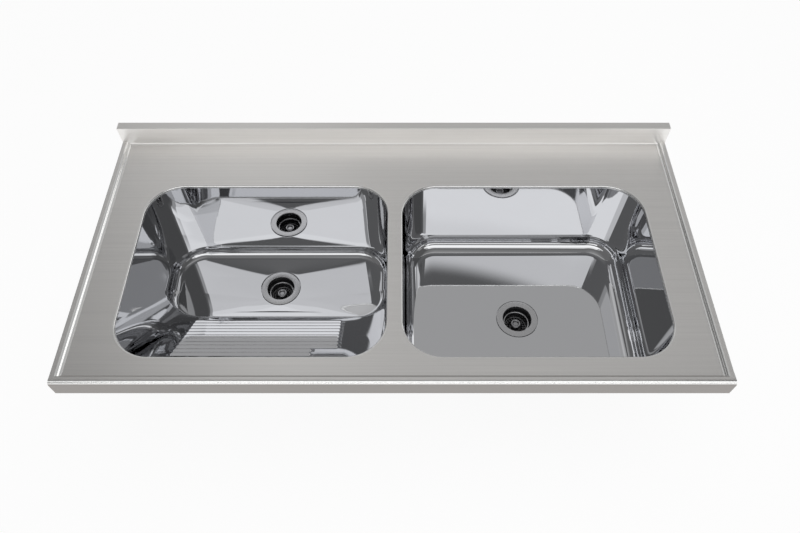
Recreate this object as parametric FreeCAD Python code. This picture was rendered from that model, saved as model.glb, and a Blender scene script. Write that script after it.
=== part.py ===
import FreeCAD, Part
import math
import os
from collections import namedtuple

# Double laundry sink: a folded steel worktop with a washboard bowl on the left, a plain rinse bowl on
# the right and a basket drain in each. Millimetres, +X right, +Y back, +Z up. The origin is the middle
# of the plan, on the plane that the folded lower edge rests on.

# Worktop sheet; the bowls and the margins round them make it 1200 by 600
LEFT_MARGIN = 87.5  # outer face to the nearest bowl
RIGHT_MARGIN = 81.5
FRONT_MARGIN = 56.0
REAR_MARGIN = 144.0
EDGE_HEIGHT = 40.0  # rest plane to the top of the raised rim
DECK_SHEET = 0.8
RIM_RISE = 6.0  # raised rim above the deck
RIM_FLAT = 9.0  # outer face to the start of the slope
RIM_SLOPE = 10.0  # plan width of the S-shaped slope down to the deck
RIM_EDGE_RADIUS = 6.0
UPSTAND_RISE = 40.0  # above the raised rim
UPSTAND_THICKNESS = 20.0
UPSTAND_FOOT_RADIUS = 4.0
UPSTAND_EDGE_RADIUS = 2.0
HEM_WIDTH = 15.0  # lower edge turned inwards
LIP_RADIUS = 3.0  # deck edge rolled down into a bowl
LIP_DEPTH = 5.0  # deck top to the weld line of a bowl

# Bowls
BOWL_LENGTH = 500.0
BOWL_WIDTH = 400.0
BOWL_CORNER_RADIUS = 75.0
BOWL_GAP = 31.0  # between the two bowls at the deck
BOWL_SHEET = 0.8
LAUNDRY_DEPTH = 234.5
LAUNDRY_FLOOR_RADIUS = 21.0
LAUNDRY_FLOOR_CORNER = 70.0
LAUNDRY_SIDE_RUN = 3.0  # how far a wall comes in on its way down
LAUNDRY_BACK_RUN = 4.5
LAUNDRY_FLOOR_WIDTH = 178.0  # foot of the washboard to the foot of the back wall
LAUNDRY_FLOOR_FALL = 4.5
LAUNDRY_DRAIN_BACK = 79.5  # foot of the washboard to the drain's axis
RINSE_DEPTH = 195.5
RINSE_FLOOR_RADIUS = 34.0
RINSE_FLOOR_CORNER = 66.0
RINSE_WALL_RUN = 9.0
RINSE_DRAIN_BACK = 190.0  # front of the bowl to the drain's axis
SEAT_LAND = 2.0  # flat ring left round a drain seat
FLOOR_FOLD = 12.0  # degrees of a drain seat that each corner of a falling floor runs to

# Washboard ribs, as many as the slope holds
RIB_PITCH = 25.0
RIB_WIDTH = 19.5
RIB_HEIGHT = 4.3
RIB_CREST = 2.4  # flat along the top of a rib
RIB_LEFT = 147.0  # middle of the bowl to the left end of the top rib
RIB_LEFT_STEP = 3.1  # each rib starts further left than the one above
RIB_RIGHT = 166.0  # middle of the bowl to the right end of the top rib if it were not short
RIB_RIGHT_STEP = 1.0  # each rib ends further left than the one above
FIRST_RIB = 19.9  # weld line to the middle of the top rib, along the slope
RIB_FOOT_MARGIN = 35.0  # least from the last rib's middle to the foot of the slope
SHORT_RIBS = 2  # top ribs that stop early and leave a bare field on the right
SHORT_RIB_CUT = 48.0

# Stiffening rails and damping pads
RAIL_SHEET = 1.2
FRONT_RAIL_WIDTH = 26.0
REAR_RAIL_WIDTH = 40.0
SIDE_RAIL_WIDTH = 40.0
CENTRE_RAIL_WIDTH = 20.0
RAIL_GAP = 0.6  # between rails, and between a rail's end and the hem
FIXING_HOLE_RADIUS = 3.25
FIXING_SPACING = 300.0
PAD_THICKNESS = 2.5
PAD_LENGTH = 320.0
LAUNDRY_PAD_WIDTH = 140.0
RINSE_PAD_WIDTH = 240.0
PAD_NUT_CLEARANCE = 5.0

# Basket drain, radii unless a length is meant
TRIM_RADIUS = 44.5
TRIM_BORE = 31.0
TRIM_SHEET = 0.8
TRIM_SKIRT = 3.0  # length of the lip turned down into the cup
TRIM_EDGE_RADIUS = 0.7
SEAT_DEPTH = 3.0  # recess of the bowl floor under the trim
SEAT_CLEARANCE = 1.0
SEAL_THICKNESS = 1.0
BODY_WALL = 3.0
THREAD_LENGTH = 34.0
LEDGE_DEPTH = 16.0
LEDGE_WIDTH = 5.0
CUP_DEPTH = 50.0
OUTLET_BORE = 19.5
OUTLET_RADIUS = 23.9  # outside of a 1 1/2 inch pipe thread
OUTLET_LENGTH = 34.0
HOLE_CLEARANCE = 0.8
FIT = 0.2  # radial play of pieces that slide over one another in assembly
GASKET_THICKNESS = 3.0
GASKET_RADIUS = 46.0
WASHER_THICKNESS = 1.0
NUT_HEIGHT = 13.0
NUT_RADIUS = 46.0
NUT_LUGS = 8
NUT_LUG_REACH = 5.0
NUT_LUG_WIDTH = 12.0

# Strainer basket and stopper
BASKET_SHEET = 0.8
BASKET_RIM_CLEARANCE = 0.8  # to the trim's bore
BASKET_WALL_CLEARANCE = 1.5  # to the cup below the ledge
BASKET_SEAT_GAP = 0.1
BASKET_DEPTH = 18.0
BASKET_EDGE_RADIUS = 2.0
BASKET_HOLE_RADIUS = 1.5
BASKET_HOLE_MARGIN = 0.2  # outer ring of holes to the bend of the wall
BASKET_RING_STEP = 4.4
BASKET_RING_HOLES = (22, 16)  # outer ring first
KNOB_RADIUS = 12.0
KNOB_HEIGHT = 10.0
KNOB_DISH_RADIUS = 5.0
KNOB_FOOT_RADIUS = 6.0
KNOB_FOOT_HEIGHT = 4.5
STUD_RADIUS = 3.0
STUD_TAIL = 1.5  # stud shown below its nut
SLEEVE_RADIUS = 6.0
STOPPER_RADIUS = 24.0
STOPPER_THICKNESS = 6.0
STOPPER_GAP = 0.3
STOPPER_EDGE = 2.0
STOPPER_NUT_RADIUS = 5.8
STOPPER_NUT_HEIGHT = 5.0
STOPPER_NUT_SIDES = 6

# Worked out from the values above
CUT_MARGIN = 1.0  # how far a cutting form runs past what it cuts
TOLERANCE = 1e-4  # lengths that count as nothing
WORKTOP_LENGTH = LEFT_MARGIN + 2 * BOWL_LENGTH + BOWL_GAP + RIGHT_MARGIN
WORKTOP_DEPTH = FRONT_MARGIN + BOWL_WIDTH + REAR_MARGIN
DECK_TOP = EDGE_HEIGHT - RIM_RISE
UPSTAND_FACE = WORKTOP_DEPTH / 2 - UPSTAND_THICKNESS
BOWL_FRONT = -WORKTOP_DEPTH / 2 + FRONT_MARGIN
BOWL_BACK = BOWL_FRONT + BOWL_WIDTH
WASHBOARD_RUN = BOWL_WIDTH - LAUNDRY_BACK_RUN - LAUNDRY_FLOOR_WIDTH
LAUNDRY_X = -WORKTOP_LENGTH / 2 + LEFT_MARGIN + BOWL_LENGTH / 2
RINSE_X = WORKTOP_LENGTH / 2 - RIGHT_MARGIN - BOWL_LENGTH / 2
RIM_WIDTH = RIM_FLAT + RIM_SLOPE
MITRE = max(RIM_WIDTH, HEM_WIDTH) + CUT_MARGIN
RAIL_HEIGHT = DECK_TOP - DECK_SHEET
SEAT_RADIUS = TRIM_RADIUS + SEAT_CLEARANCE
BODY_BORE = TRIM_BORE + TRIM_SHEET + FIT
THREAD_RADIUS = BODY_BORE + BODY_WALL
FLOOR_HOLE = THREAD_RADIUS + HOLE_CLEARANCE
CUP_BORE = BODY_BORE - LEDGE_WIDTH
NUT_BORE = THREAD_RADIUS + FIT

Bowl = namedtuple(
    "Bowl",
    "name x depth floor_radius floor_corner side_run back_run front_run fall drain_y pad_width",
)
LAUNDRY = Bowl(
    "laundry", LAUNDRY_X, LAUNDRY_DEPTH, LAUNDRY_FLOOR_RADIUS, LAUNDRY_FLOOR_CORNER,
    LAUNDRY_SIDE_RUN, LAUNDRY_BACK_RUN, WASHBOARD_RUN, LAUNDRY_FLOOR_FALL,
    BOWL_FRONT + WASHBOARD_RUN + LAUNDRY_DRAIN_BACK, LAUNDRY_PAD_WIDTH,
)
RINSE = Bowl(
    "rinse", RINSE_X, RINSE_DEPTH, RINSE_FLOOR_RADIUS, RINSE_FLOOR_CORNER,
    RINSE_WALL_RUN, RINSE_WALL_RUN, RINSE_WALL_RUN, 0.0,
    BOWL_FRONT + RINSE_DRAIN_BACK, RINSE_PAD_WIDTH,
)
BOWLS = (LAUNDRY, RINSE)

UP = FreeCAD.Vector(0, 0, 1)


def in_plane(plane, u, v):
    """Point of a section: across X or across Y, and up."""
    if plane == "xz":
        return FreeCAD.Vector(u, 0, v)
    return FreeCAD.Vector(0, u, v)


def section(plane, start, steps):
    """Closed face through points; a step of two points is an arc through the first to the second."""
    edges = []
    here = start
    for step in list(steps) + [start]:
        is_arc = isinstance(step[0], tuple)
        end = step[1] if is_arc else step
        a = in_plane(plane, *here)
        b = in_plane(plane, *end)
        if is_arc:
            edges.append(Part.Arc(a, in_plane(plane, *step[0]), b).toShape())
        elif a.distanceToPoint(b) > TOLERANCE:
            edges.append(Part.LineSegment(a, b).toShape())
        here = end
    return Part.Face(Part.Wire(edges))


def turned(start, steps):
    """Solid turned about the Z axis from a section in radius and height."""
    return section("xz", start, steps).revolve(FreeCAD.Vector(), UP, 360)


def disc(radius, low, high):
    return Part.makeCylinder(radius, high - low, FreeCAD.Vector(0, 0, low))


def ring(bore, radius, low, high):
    return disc(radius, low, high).cut(disc(bore, low - CUT_MARGIN, high + CUT_MARGIN))


def slab(x0, x1, y0, y1, z0, z1):
    return Part.makeBox(x1 - x0, y1 - y0, z1 - z0, FreeCAD.Vector(x0, y0, z0))


def arc_edge(cx, cy, radius, start, end, z):
    """Arc in plan between two directions in degrees."""
    points = []
    for turn in (start, (start + end) / 2, end):
        angle = math.radians(turn)
        points.append(FreeCAD.Vector(cx + radius * math.cos(angle), cy + radius * math.sin(angle), z))
    return Part.Arc(*points).toShape()


def joined_corners(corners):
    """Closed wire of corner arcs with straight edges between them."""
    edges = []
    for arc, following in zip(corners, corners[1:] + corners[:1]):
        edges.append(arc)
        edges.append(Part.LineSegment(arc.lastVertex().Point, following.firstVertex().Point).toShape())
    return Part.Wire(edges)


def rounded_rectangle(x0, x1, y0, y1, radius, z):
    """Plan wire that starts with the front right corner and runs anticlockwise."""
    centres = ((x1, y0, -1, 1), (x1, y1, -1, -1), (x0, y1, 1, -1), (x0, y0, 1, 1))
    corners = []
    for i, (x, y, sx, sy) in enumerate(centres):
        start = 90 * i - 90
        corners.append(arc_edge(x + sx * radius, y + sy * radius, radius, start, start + 90, z))
    return joined_corners(corners)


def circle_in_eight(cx, cy, radius, z):
    """Circle cut to match the four corners and four sides of a rounded rectangle."""
    half_corner = FLOOR_FOLD / 2
    edges = []
    for i in range(4):
        middle = 90 * i - 45
        edges.append(arc_edge(cx, cy, radius, middle - half_corner, middle + half_corner, z))
        edges.append(arc_edge(cx, cy, radius, middle + half_corner, middle + 90 - half_corner, z))
    return Part.Wire(edges)


def prism(wire, top):
    low = wire.BoundBox.ZMin
    return Part.Face(wire).extrude(FreeCAD.Vector(0, 0, top - low))


# Worktop

def rim_slope(edge, inward, offset):
    """Steps down the S-shaped slope of a rim whose outer face is at edge; offset is into the sheet."""
    half_run = RIM_SLOPE / 2
    half_rise = RIM_RISE / 2
    radius = (half_run**2 + half_rise**2) / (2 * half_rise)
    sweep = 2 * math.atan2(half_rise, half_run)
    top_u = edge + inward * RIM_FLAT
    foot_u = edge + inward * RIM_WIDTH

    def on_crest(angle):
        reach = radius - offset
        return (top_u + inward * reach * math.sin(angle), EDGE_HEIGHT - radius + reach * math.cos(angle))

    def on_foot(angle):
        reach = radius + offset
        return (foot_u - inward * reach * math.sin(angle), DECK_TOP + radius - reach * math.cos(angle))

    return [on_crest(0), (on_crest(sweep / 2), on_crest(sweep)), (on_foot(sweep / 2), on_foot(0))]


def apron_shoulder(edge, inward, offset):
    """Steps from the outer face of an apron over its rounded top edge."""
    radius = RIM_EDGE_RADIUS - offset
    centre_u = edge + inward * RIM_EDGE_RADIUS
    centre_z = EDGE_HEIGHT - RIM_EDGE_RADIUS
    slant = radius * math.sqrt(0.5)
    return [
        (centre_u - inward * radius, centre_z),
        ((centre_u - inward * slant, centre_z + slant), (centre_u, centre_z + radius)),
    ]


def upstand_skin(offset):
    """Steps from the deck up the face of the upstand, over its top and down to the hem at the back."""
    foot_y = UPSTAND_FACE - UPSTAND_FOOT_RADIUS
    foot_z = DECK_TOP + UPSTAND_FOOT_RADIUS
    foot = UPSTAND_FOOT_RADIUS + offset
    edge = UPSTAND_EDGE_RADIUS - offset
    front = UPSTAND_FACE + UPSTAND_EDGE_RADIUS
    back = WORKTOP_DEPTH / 2 - UPSTAND_EDGE_RADIUS
    top = EDGE_HEIGHT + UPSTAND_RISE - UPSTAND_EDGE_RADIUS
    slant = math.sqrt(0.5)
    return [
        (foot_y, foot_z - foot),
        ((foot_y + foot * slant, foot_z - foot * slant), (foot_y + foot, foot_z)),
        (front - edge, top),
        ((front - edge * slant, top + edge * slant), (front, top + edge)),
        (back, top + edge),
        ((back + edge * slant, top + edge * slant), (back + edge, top)),
        (back + edge, offset),
        (WORKTOP_DEPTH / 2 - HEM_WIDTH, offset),
    ]


def reversed_steps(steps):
    """The same steps walked from their end to their start."""
    ends = [step[1] if isinstance(step[0], tuple) else step for step in steps]
    back = [ends[-1]]
    for i in range(len(steps) - 1, 0, -1):
        is_arc = isinstance(steps[i][0], tuple)
        back.append((steps[i][0], ends[i - 1]) if is_arc else ends[i - 1])
    return back


def sheet_section(plane, skin, under):
    """Face between the steps of a sheet's outer side and those of its inner side."""
    return section(plane, skin[0], skin[1:] + reversed_steps(under))


def apron_section(plane, edge, inward):
    """Folded strip: hem, apron, rounded edge, rim and the slope down to the deck."""
    sides = []
    for offset in (0, DECK_SHEET):
        hem = [(edge + inward * HEM_WIDTH, offset), (edge + inward * offset, offset)]
        sides.append(hem + apron_shoulder(edge, inward, offset) + rim_slope(edge, inward, offset))
    return sheet_section(plane, *sides)


def plan_prism(points):
    """Upright prism over a plan, taller than the worktop."""
    low = -CUT_MARGIN
    corners = [FreeCAD.Vector(x, y, low) for x, y in points + points[:1]]
    return prism(Part.makePolygon(corners), EDGE_HEIGHT + UPSTAND_RISE)


def make_front_strip():
    half_length = WORKTOP_LENGTH / 2
    half_depth = WORKTOP_DEPTH / 2
    face = apron_section("yz", -half_depth, 1)
    face.translate(FreeCAD.Vector(-half_length, 0, 0))
    strip = face.extrude(FreeCAD.Vector(WORKTOP_LENGTH, 0, 0))
    return strip.common(plan_prism([
        (-half_length, -half_depth), (half_length, -half_depth),
        (half_length - MITRE, MITRE - half_depth), (MITRE - half_length, MITRE - half_depth),
    ]))


def make_side_strip(side):
    half_length = side * WORKTOP_LENGTH / 2
    half_depth = WORKTOP_DEPTH / 2
    inner = half_length - side * MITRE
    face = apron_section("xz", half_length, -side)
    face.translate(FreeCAD.Vector(0, -half_depth, 0))
    strip = face.extrude(FreeCAD.Vector(0, WORKTOP_DEPTH - UPSTAND_THICKNESS, 0))
    return strip.common(plan_prism([
        (half_length, -half_depth), (inner, MITRE - half_depth),
        (inner, UPSTAND_FACE), (half_length, UPSTAND_FACE),
    ]))


def make_upstand():
    """Folded rear strip with a cap welded into each end."""
    half_length = WORKTOP_LENGTH / 2
    face = sheet_section("yz", upstand_skin(0), upstand_skin(DECK_SHEET))
    face.translate(FreeCAD.Vector(-half_length, 0, 0))
    strip = face.extrude(FreeCAD.Vector(WORKTOP_LENGTH, 0, 0))
    inside = upstand_skin(DECK_SHEET)[2:-1]
    cap_face = section("yz", (UPSTAND_FACE + DECK_SHEET, DECK_SHEET), inside)
    for x in (-half_length, half_length - DECK_SHEET):
        cap = cap_face.copy()
        cap.translate(FreeCAD.Vector(x, 0, 0))
        strip = strip.fuse(cap.extrude(FreeCAD.Vector(DECK_SHEET, 0, 0)))
    return strip


def bowl_mouth(bowl, grow, low, high):
    """Upright form of a bowl's mouth in the deck."""
    wire = rounded_rectangle(
        bowl.x - BOWL_LENGTH / 2 - grow, bowl.x + BOWL_LENGTH / 2 + grow,
        BOWL_FRONT - grow, BOWL_BACK + grow, BOWL_CORNER_RADIUS + grow, low,
    )
    return prism(wire, high)


def deck_form(offset, spread, low):
    """Deck as a block with the bowls' mouths cut and their upper edges rolled."""
    half_length = WORKTOP_LENGTH / 2 - RIM_WIDTH + spread
    front = -WORKTOP_DEPTH / 2 + RIM_WIDTH - spread
    back = UPSTAND_FACE - UPSTAND_FOOT_RADIUS + spread
    top = DECK_TOP - offset
    block = slab(-half_length, half_length, front, back, low, top)
    for bowl in BOWLS:
        block = block.cut(bowl_mouth(bowl, offset, low - CUT_MARGIN, top + CUT_MARGIN))

    def on_mouth(edge):
        box = edge.BoundBox
        inside = box.YMin > front + CUT_MARGIN and box.YMax < back - CUT_MARGIN
        return inside and box.ZMin > top - TOLERANCE

    edges = [edge for edge in block.Edges if on_mouth(edge)]
    return block.makeFillet(LIP_RADIUS - offset, edges)


def make_deck():
    """Flat deck with a lip rolled down to the weld line round each bowl."""
    low = DECK_TOP - LIP_DEPTH - CUT_MARGIN
    core = deck_form(DECK_SHEET, CUT_MARGIN, low - CUT_MARGIN)
    deck = deck_form(0, 0, low).cut(core)
    for bowl in BOWLS:
        below_lip = bowl_mouth(bowl, DECK_SHEET + CUT_MARGIN, low - CUT_MARGIN, DECK_TOP - LIP_DEPTH)
        deck = deck.cut(below_lip)
    return deck


def make_worktop():
    strips = [make_front_strip(), make_side_strip(-1), make_side_strip(1), make_upstand()]
    return make_deck().fuse(strips).removeSplitter()


# Bowls

def drain_level(bowl):
    """Height of a bowl's floor at its drain."""
    return DECK_TOP - bowl.depth - bowl.fall


def wall_section(bowl, depth, grow):
    """Edges and corner radius of a bowl at a depth below the deck; grow moves the walls outwards."""
    height = bowl.depth - LIP_DEPTH
    share = (depth - LIP_DEPTH) / height

    def inset(run):
        return run * share - grow * math.hypot(1, run / height)

    radius = BOWL_CORNER_RADIUS + (bowl.floor_corner - BOWL_CORNER_RADIUS) * share + grow
    side = BOWL_LENGTH / 2 - inset(bowl.side_run)
    front = BOWL_FRONT + inset(bowl.front_run)
    back = BOWL_BACK - inset(bowl.back_run)
    return bowl.x - side, bowl.x + side, front, back, radius


def floor_outline(bowl):
    """Flat part of a bowl's floor, inside the rounding at its foot."""
    x0, x1, y0, y1, radius = wall_section(bowl, bowl.depth, 0)
    height = bowl.depth - LIP_DEPTH

    def rounding(run):
        lean = math.atan2(run, height)
        return bowl.floor_radius * math.tan((math.pi / 2 - lean) / 2) + CUT_MARGIN

    side = rounding(bowl.side_run)
    front = rounding(bowl.front_run)
    back = rounding(bowl.back_run)
    return x0 + side, x1 - side, y0 + front, y1 - back, radius - bowl.floor_radius


def bowl_form(bowl, grow):
    """Inside of a bowl as a block, or its outside where grow is the sheet's thickness."""
    depth = bowl.depth + grow
    mouth = rounded_rectangle(*wall_section(bowl, LIP_DEPTH, grow), DECK_TOP - LIP_DEPTH)
    foot = rounded_rectangle(*wall_section(bowl, depth, grow), DECK_TOP - depth)
    block = Part.makeLoft([mouth, foot], True, True)
    low = DECK_TOP - depth
    edges = [edge for edge in block.Edges if edge.BoundBox.ZMax < low + TOLERANCE]
    block = block.makeFillet(bowl.floor_radius + grow, edges)
    drain_low = drain_level(bowl) - grow
    if bowl.fall > 0:
        outer = rounded_rectangle(*floor_outline(bowl), low)
        inner = circle_in_eight(bowl.x, bowl.drain_y, SEAT_RADIUS + SEAT_LAND, drain_low)
        block = block.fuse(Part.makeLoft([outer, inner], True, True))
    seat = disc(SEAT_RADIUS + grow, drain_low - SEAT_DEPTH, drain_low + CUT_MARGIN)
    seat.translate(FreeCAD.Vector(bowl.x, bowl.drain_y, 0))
    return block.fuse(seat)


def roof_rib(left, right, shrink):
    """Roof-shaped rib along X with sloping ends: foot sunk through the wall at Z 0, ridge up."""
    spread = (RIB_WIDTH - RIB_CREST) / 2 / RIB_HEIGHT
    inset = shrink * math.hypot(1, spread)
    outlines = []
    for level in (-BOWL_SHEET - CUT_MARGIN, RIB_HEIGHT - shrink):
        narrowing = inset + spread * level
        x0 = left + narrowing
        x1 = right - narrowing
        half = RIB_WIDTH / 2 - narrowing
        corners = [(x0, -half), (x1, -half), (x1, half), (x0, half), (x0, -half)]
        outlines.append(Part.makePolygon([FreeCAD.Vector(x, y, level) for x, y in corners]))
    return Part.makeLoft(outlines, True, True)


def washboard_ribs(shrink):
    """Ribs across the sloping front wall; shrink gives the hollow behind each rib."""
    height = LAUNDRY_DEPTH - LIP_DEPTH
    slope = math.atan2(height, WASHBOARD_RUN)
    last_rib = math.hypot(height, WASHBOARD_RUN) - RIB_FOOT_MARGIN
    ribs = []
    for i in range(1 + math.floor((last_rib - FIRST_RIB) / RIB_PITCH)):
        along = FIRST_RIB + i * RIB_PITCH
        cut = SHORT_RIB_CUT if i < SHORT_RIBS else 0
        rib = roof_rib(-RIB_LEFT - i * RIB_LEFT_STEP, RIB_RIGHT - i * RIB_RIGHT_STEP - cut, shrink)
        rib.rotate(FreeCAD.Vector(), FreeCAD.Vector(1, 0, 0), -math.degrees(slope))
        rib.translate(FreeCAD.Vector(
            LAUNDRY.x, BOWL_FRONT + along * math.cos(slope), DECK_TOP - LIP_DEPTH - along * math.sin(slope),
        ))
        ribs.append(rib)
    return ribs


def make_bowl(bowl):
    inside = bowl_form(bowl, 0)
    outside = bowl_form(bowl, BOWL_SHEET)
    if bowl is LAUNDRY:
        inside = inside.cut(washboard_ribs(0))
        outside = outside.cut(washboard_ribs(BOWL_SHEET))
    shell = outside.cut(inside)
    low = drain_level(bowl) - SEAT_DEPTH - BOWL_SHEET
    hole = disc(FLOOR_HOLE, low - CUT_MARGIN, DECK_TOP)
    hole.translate(FreeCAD.Vector(bowl.x, bowl.drain_y, 0))
    return shell.cut(hole).removeSplitter()


def make_sound_pad(bowl):
    """Damping pad that follows the underside of a bowl's floor, clear of the lock nut."""
    pad = bowl_form(bowl, BOWL_SHEET + PAD_THICKNESS).cut(bowl_form(bowl, BOWL_SHEET))
    x0, x1, y0, y1, radius = floor_outline(bowl)
    half = min(PAD_LENGTH, x1 - x0) / 2
    half_width = min(bowl.pad_width, y1 - y0) / 2
    middle = (y0 + y1) / 2
    low = drain_level(bowl) - SEAT_DEPTH - BOWL_SHEET - PAD_THICKNESS
    patch = slab(bowl.x - half, bowl.x + half, middle - half_width, middle + half_width,
                 low - CUT_MARGIN, DECK_TOP - bowl.depth)
    hole = disc(NUT_RADIUS + NUT_LUG_REACH + PAD_NUT_CLEARANCE, low - 2 * CUT_MARGIN, DECK_TOP)
    hole.translate(FreeCAD.Vector(bowl.x, bowl.drain_y, 0))
    return pad.common(patch).cut(hole)


# Rails

def channel(width, length):
    """Folded C-channel along X: flanges above and below, web at the back, centred in plan."""
    outer = slab(-length / 2, length / 2, -width / 2, width / 2, 0, RAIL_HEIGHT)
    hollow = slab(
        -length / 2 - CUT_MARGIN, length / 2 + CUT_MARGIN,
        -width / 2 - CUT_MARGIN, width / 2 - RAIL_SHEET, RAIL_SHEET, RAIL_HEIGHT - RAIL_SHEET,
    )
    return outer.cut(hollow)


def place_rail(rail, turn, x, y):
    rail.rotate(FreeCAD.Vector(), UP, turn)
    rail.translate(FreeCAD.Vector(x, y, 0))
    return rail


def make_rails():
    """Front and rear rails across the worktop, with side and centre rails between them."""
    deck_front = -WORKTOP_DEPTH / 2 + RIM_WIDTH
    deck_side = WORKTOP_LENGTH / 2 - RIM_WIDTH
    front_y = (deck_front + BOWL_FRONT - LIP_RADIUS) / 2
    rear_y = (BOWL_BACK + LIP_RADIUS + UPSTAND_FACE - UPSTAND_FOOT_RADIUS) / 2
    across = WORKTOP_LENGTH - 2 * (HEM_WIDTH + RAIL_GAP)
    between_low = front_y + FRONT_RAIL_WIDTH / 2 + RAIL_GAP
    between_high = rear_y - REAR_RAIL_WIDTH / 2 - RAIL_GAP
    middle = (between_low + between_high) / 2
    between = between_high - between_low
    half_bowl = BOWL_LENGTH / 2 + LIP_RADIUS
    left_x = (LAUNDRY.x - half_bowl - deck_side) / 2
    right_x = (RINSE.x + half_bowl + deck_side) / 2
    centre_x = (LAUNDRY.x + RINSE.x) / 2
    rails = {
        "front_rail": place_rail(channel(FRONT_RAIL_WIDTH, across), 0, 0, front_y),
        "rear_rail": place_rail(channel(REAR_RAIL_WIDTH, across), 180, 0, rear_y),
        "centre_rail": place_rail(channel(CENTRE_RAIL_WIDTH, between), 90, centre_x, middle),
    }
    for name, turn, x in (("left_rail", -90, left_x), ("right_rail", 90, right_x)):
        rail = place_rail(channel(SIDE_RAIL_WIDTH, between), turn, x, middle)
        for y in (-FIXING_SPACING / 2, FIXING_SPACING / 2):
            hole = disc(FIXING_HOLE_RADIUS, -CUT_MARGIN, RAIL_HEIGHT / 2)
            hole.translate(FreeCAD.Vector(x, y, 0))
            rail = rail.cut(hole)
        rails[name] = rail
    return rails


# Basket drain, turned about Z with the bowl floor at height 0

def make_drain_trim():
    """Pressed steel ring that caps the valve flange, with a lip down into the cup."""
    edge = TRIM_EDGE_RADIUS
    slant = edge * (1 - math.sqrt(0.5))
    inner_lip = TRIM_BORE + TRIM_SHEET
    outer_lip = TRIM_RADIUS - TRIM_SHEET
    lip_low = SEAL_THICKNESS - SEAT_DEPTH
    return turned((TRIM_BORE, -TRIM_SKIRT), [
        (TRIM_BORE, TRIM_SHEET - edge),
        ((TRIM_BORE + slant, TRIM_SHEET - slant), (TRIM_BORE + edge, TRIM_SHEET)),
        (TRIM_RADIUS - edge, TRIM_SHEET),
        ((TRIM_RADIUS - slant, TRIM_SHEET - slant), (TRIM_RADIUS, TRIM_SHEET - edge)),
        (TRIM_RADIUS, lip_low),
        (outer_lip, lip_low),
        (outer_lip, 0),
        (inner_lip, 0),
        (inner_lip, -TRIM_SKIRT),
    ])


def make_valve_body():
    """Moulded cup: flange, threaded wall, ledge for the basket, and the outlet for the waste pipe."""
    flange_low = SEAL_THICKNESS - SEAT_DEPTH
    flange_radius = TRIM_RADIUS - TRIM_SHEET - FIT
    thread_low = flange_low - THREAD_LENGTH
    cup_outer = CUP_BORE + BODY_WALL
    cup_low = -CUP_DEPTH - BODY_WALL
    outlet_low = cup_low - OUTLET_LENGTH
    return turned((BODY_BORE, 0), [
        (flange_radius, 0),
        (flange_radius, flange_low),
        (THREAD_RADIUS, flange_low),
        (THREAD_RADIUS, thread_low),
        (cup_outer, thread_low - (THREAD_RADIUS - cup_outer)),
        (cup_outer, cup_low),
        (OUTLET_RADIUS, cup_low),
        (OUTLET_RADIUS, outlet_low),
        (OUTLET_BORE, outlet_low),
        (OUTLET_BORE, -CUP_DEPTH),
        (CUP_BORE, -CUP_DEPTH),
        (CUP_BORE, -LEDGE_DEPTH),
        (BODY_BORE, -LEDGE_DEPTH),
    ])


def make_lock_nut(high):
    """Moulded ring nut with grip lugs."""
    low = high - NUT_HEIGHT
    nut = disc(NUT_RADIUS, low, high)
    lugs = []
    for i in range(NUT_LUGS):
        lug = slab(0, NUT_RADIUS + NUT_LUG_REACH, -NUT_LUG_WIDTH / 2, NUT_LUG_WIDTH / 2, low, high)
        lug.rotate(FreeCAD.Vector(), UP, 360 * i / NUT_LUGS)
        lugs.append(lug)
    return nut.fuse(lugs).removeSplitter().cut(disc(NUT_BORE, low - CUT_MARGIN, high + CUT_MARGIN))


def make_basket():
    """Pressed strainer: rim on the ledge, wall, and a floor with two rings of holes."""
    rim = TRIM_BORE - BASKET_RIM_CLEARANCE
    wall = CUP_BORE - BASKET_WALL_CLEARANCE
    low = -LEDGE_DEPTH + BASKET_SEAT_GAP
    high = low + BASKET_SHEET
    floor = low - BASKET_DEPTH
    bend = BASKET_EDGE_RADIUS
    outer_bend = bend + BASKET_SHEET
    bend_u = wall - outer_bend
    bend_z = floor + outer_bend
    slant = math.sqrt(0.5)
    basket = turned((STUD_RADIUS, floor), [
        (bend_u, floor),
        ((bend_u + outer_bend * slant, bend_z - outer_bend * slant), (wall, bend_z)),
        (wall, low),
        (rim, low),
        (rim, high),
        (wall - BASKET_SHEET, high),
        (wall - BASKET_SHEET, bend_z),
        ((bend_u + bend * slant, bend_z - bend * slant), (bend_u, floor + BASKET_SHEET)),
        (STUD_RADIUS, floor + BASKET_SHEET),
    ])
    holes = []
    outer_ring = bend_u - BASKET_HOLE_MARGIN - BASKET_HOLE_RADIUS
    for ring_number, count in enumerate(BASKET_RING_HOLES):
        radius = outer_ring - ring_number * BASKET_RING_STEP
        for i in range(count):
            angle = 2 * math.pi * i / count
            hole = disc(BASKET_HOLE_RADIUS, floor - CUT_MARGIN, floor + BASKET_SHEET + CUT_MARGIN)
            hole.translate(FreeCAD.Vector(radius * math.cos(angle), radius * math.sin(angle), 0))
            holes.append(hole)
    return basket.cut(holes)


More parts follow.
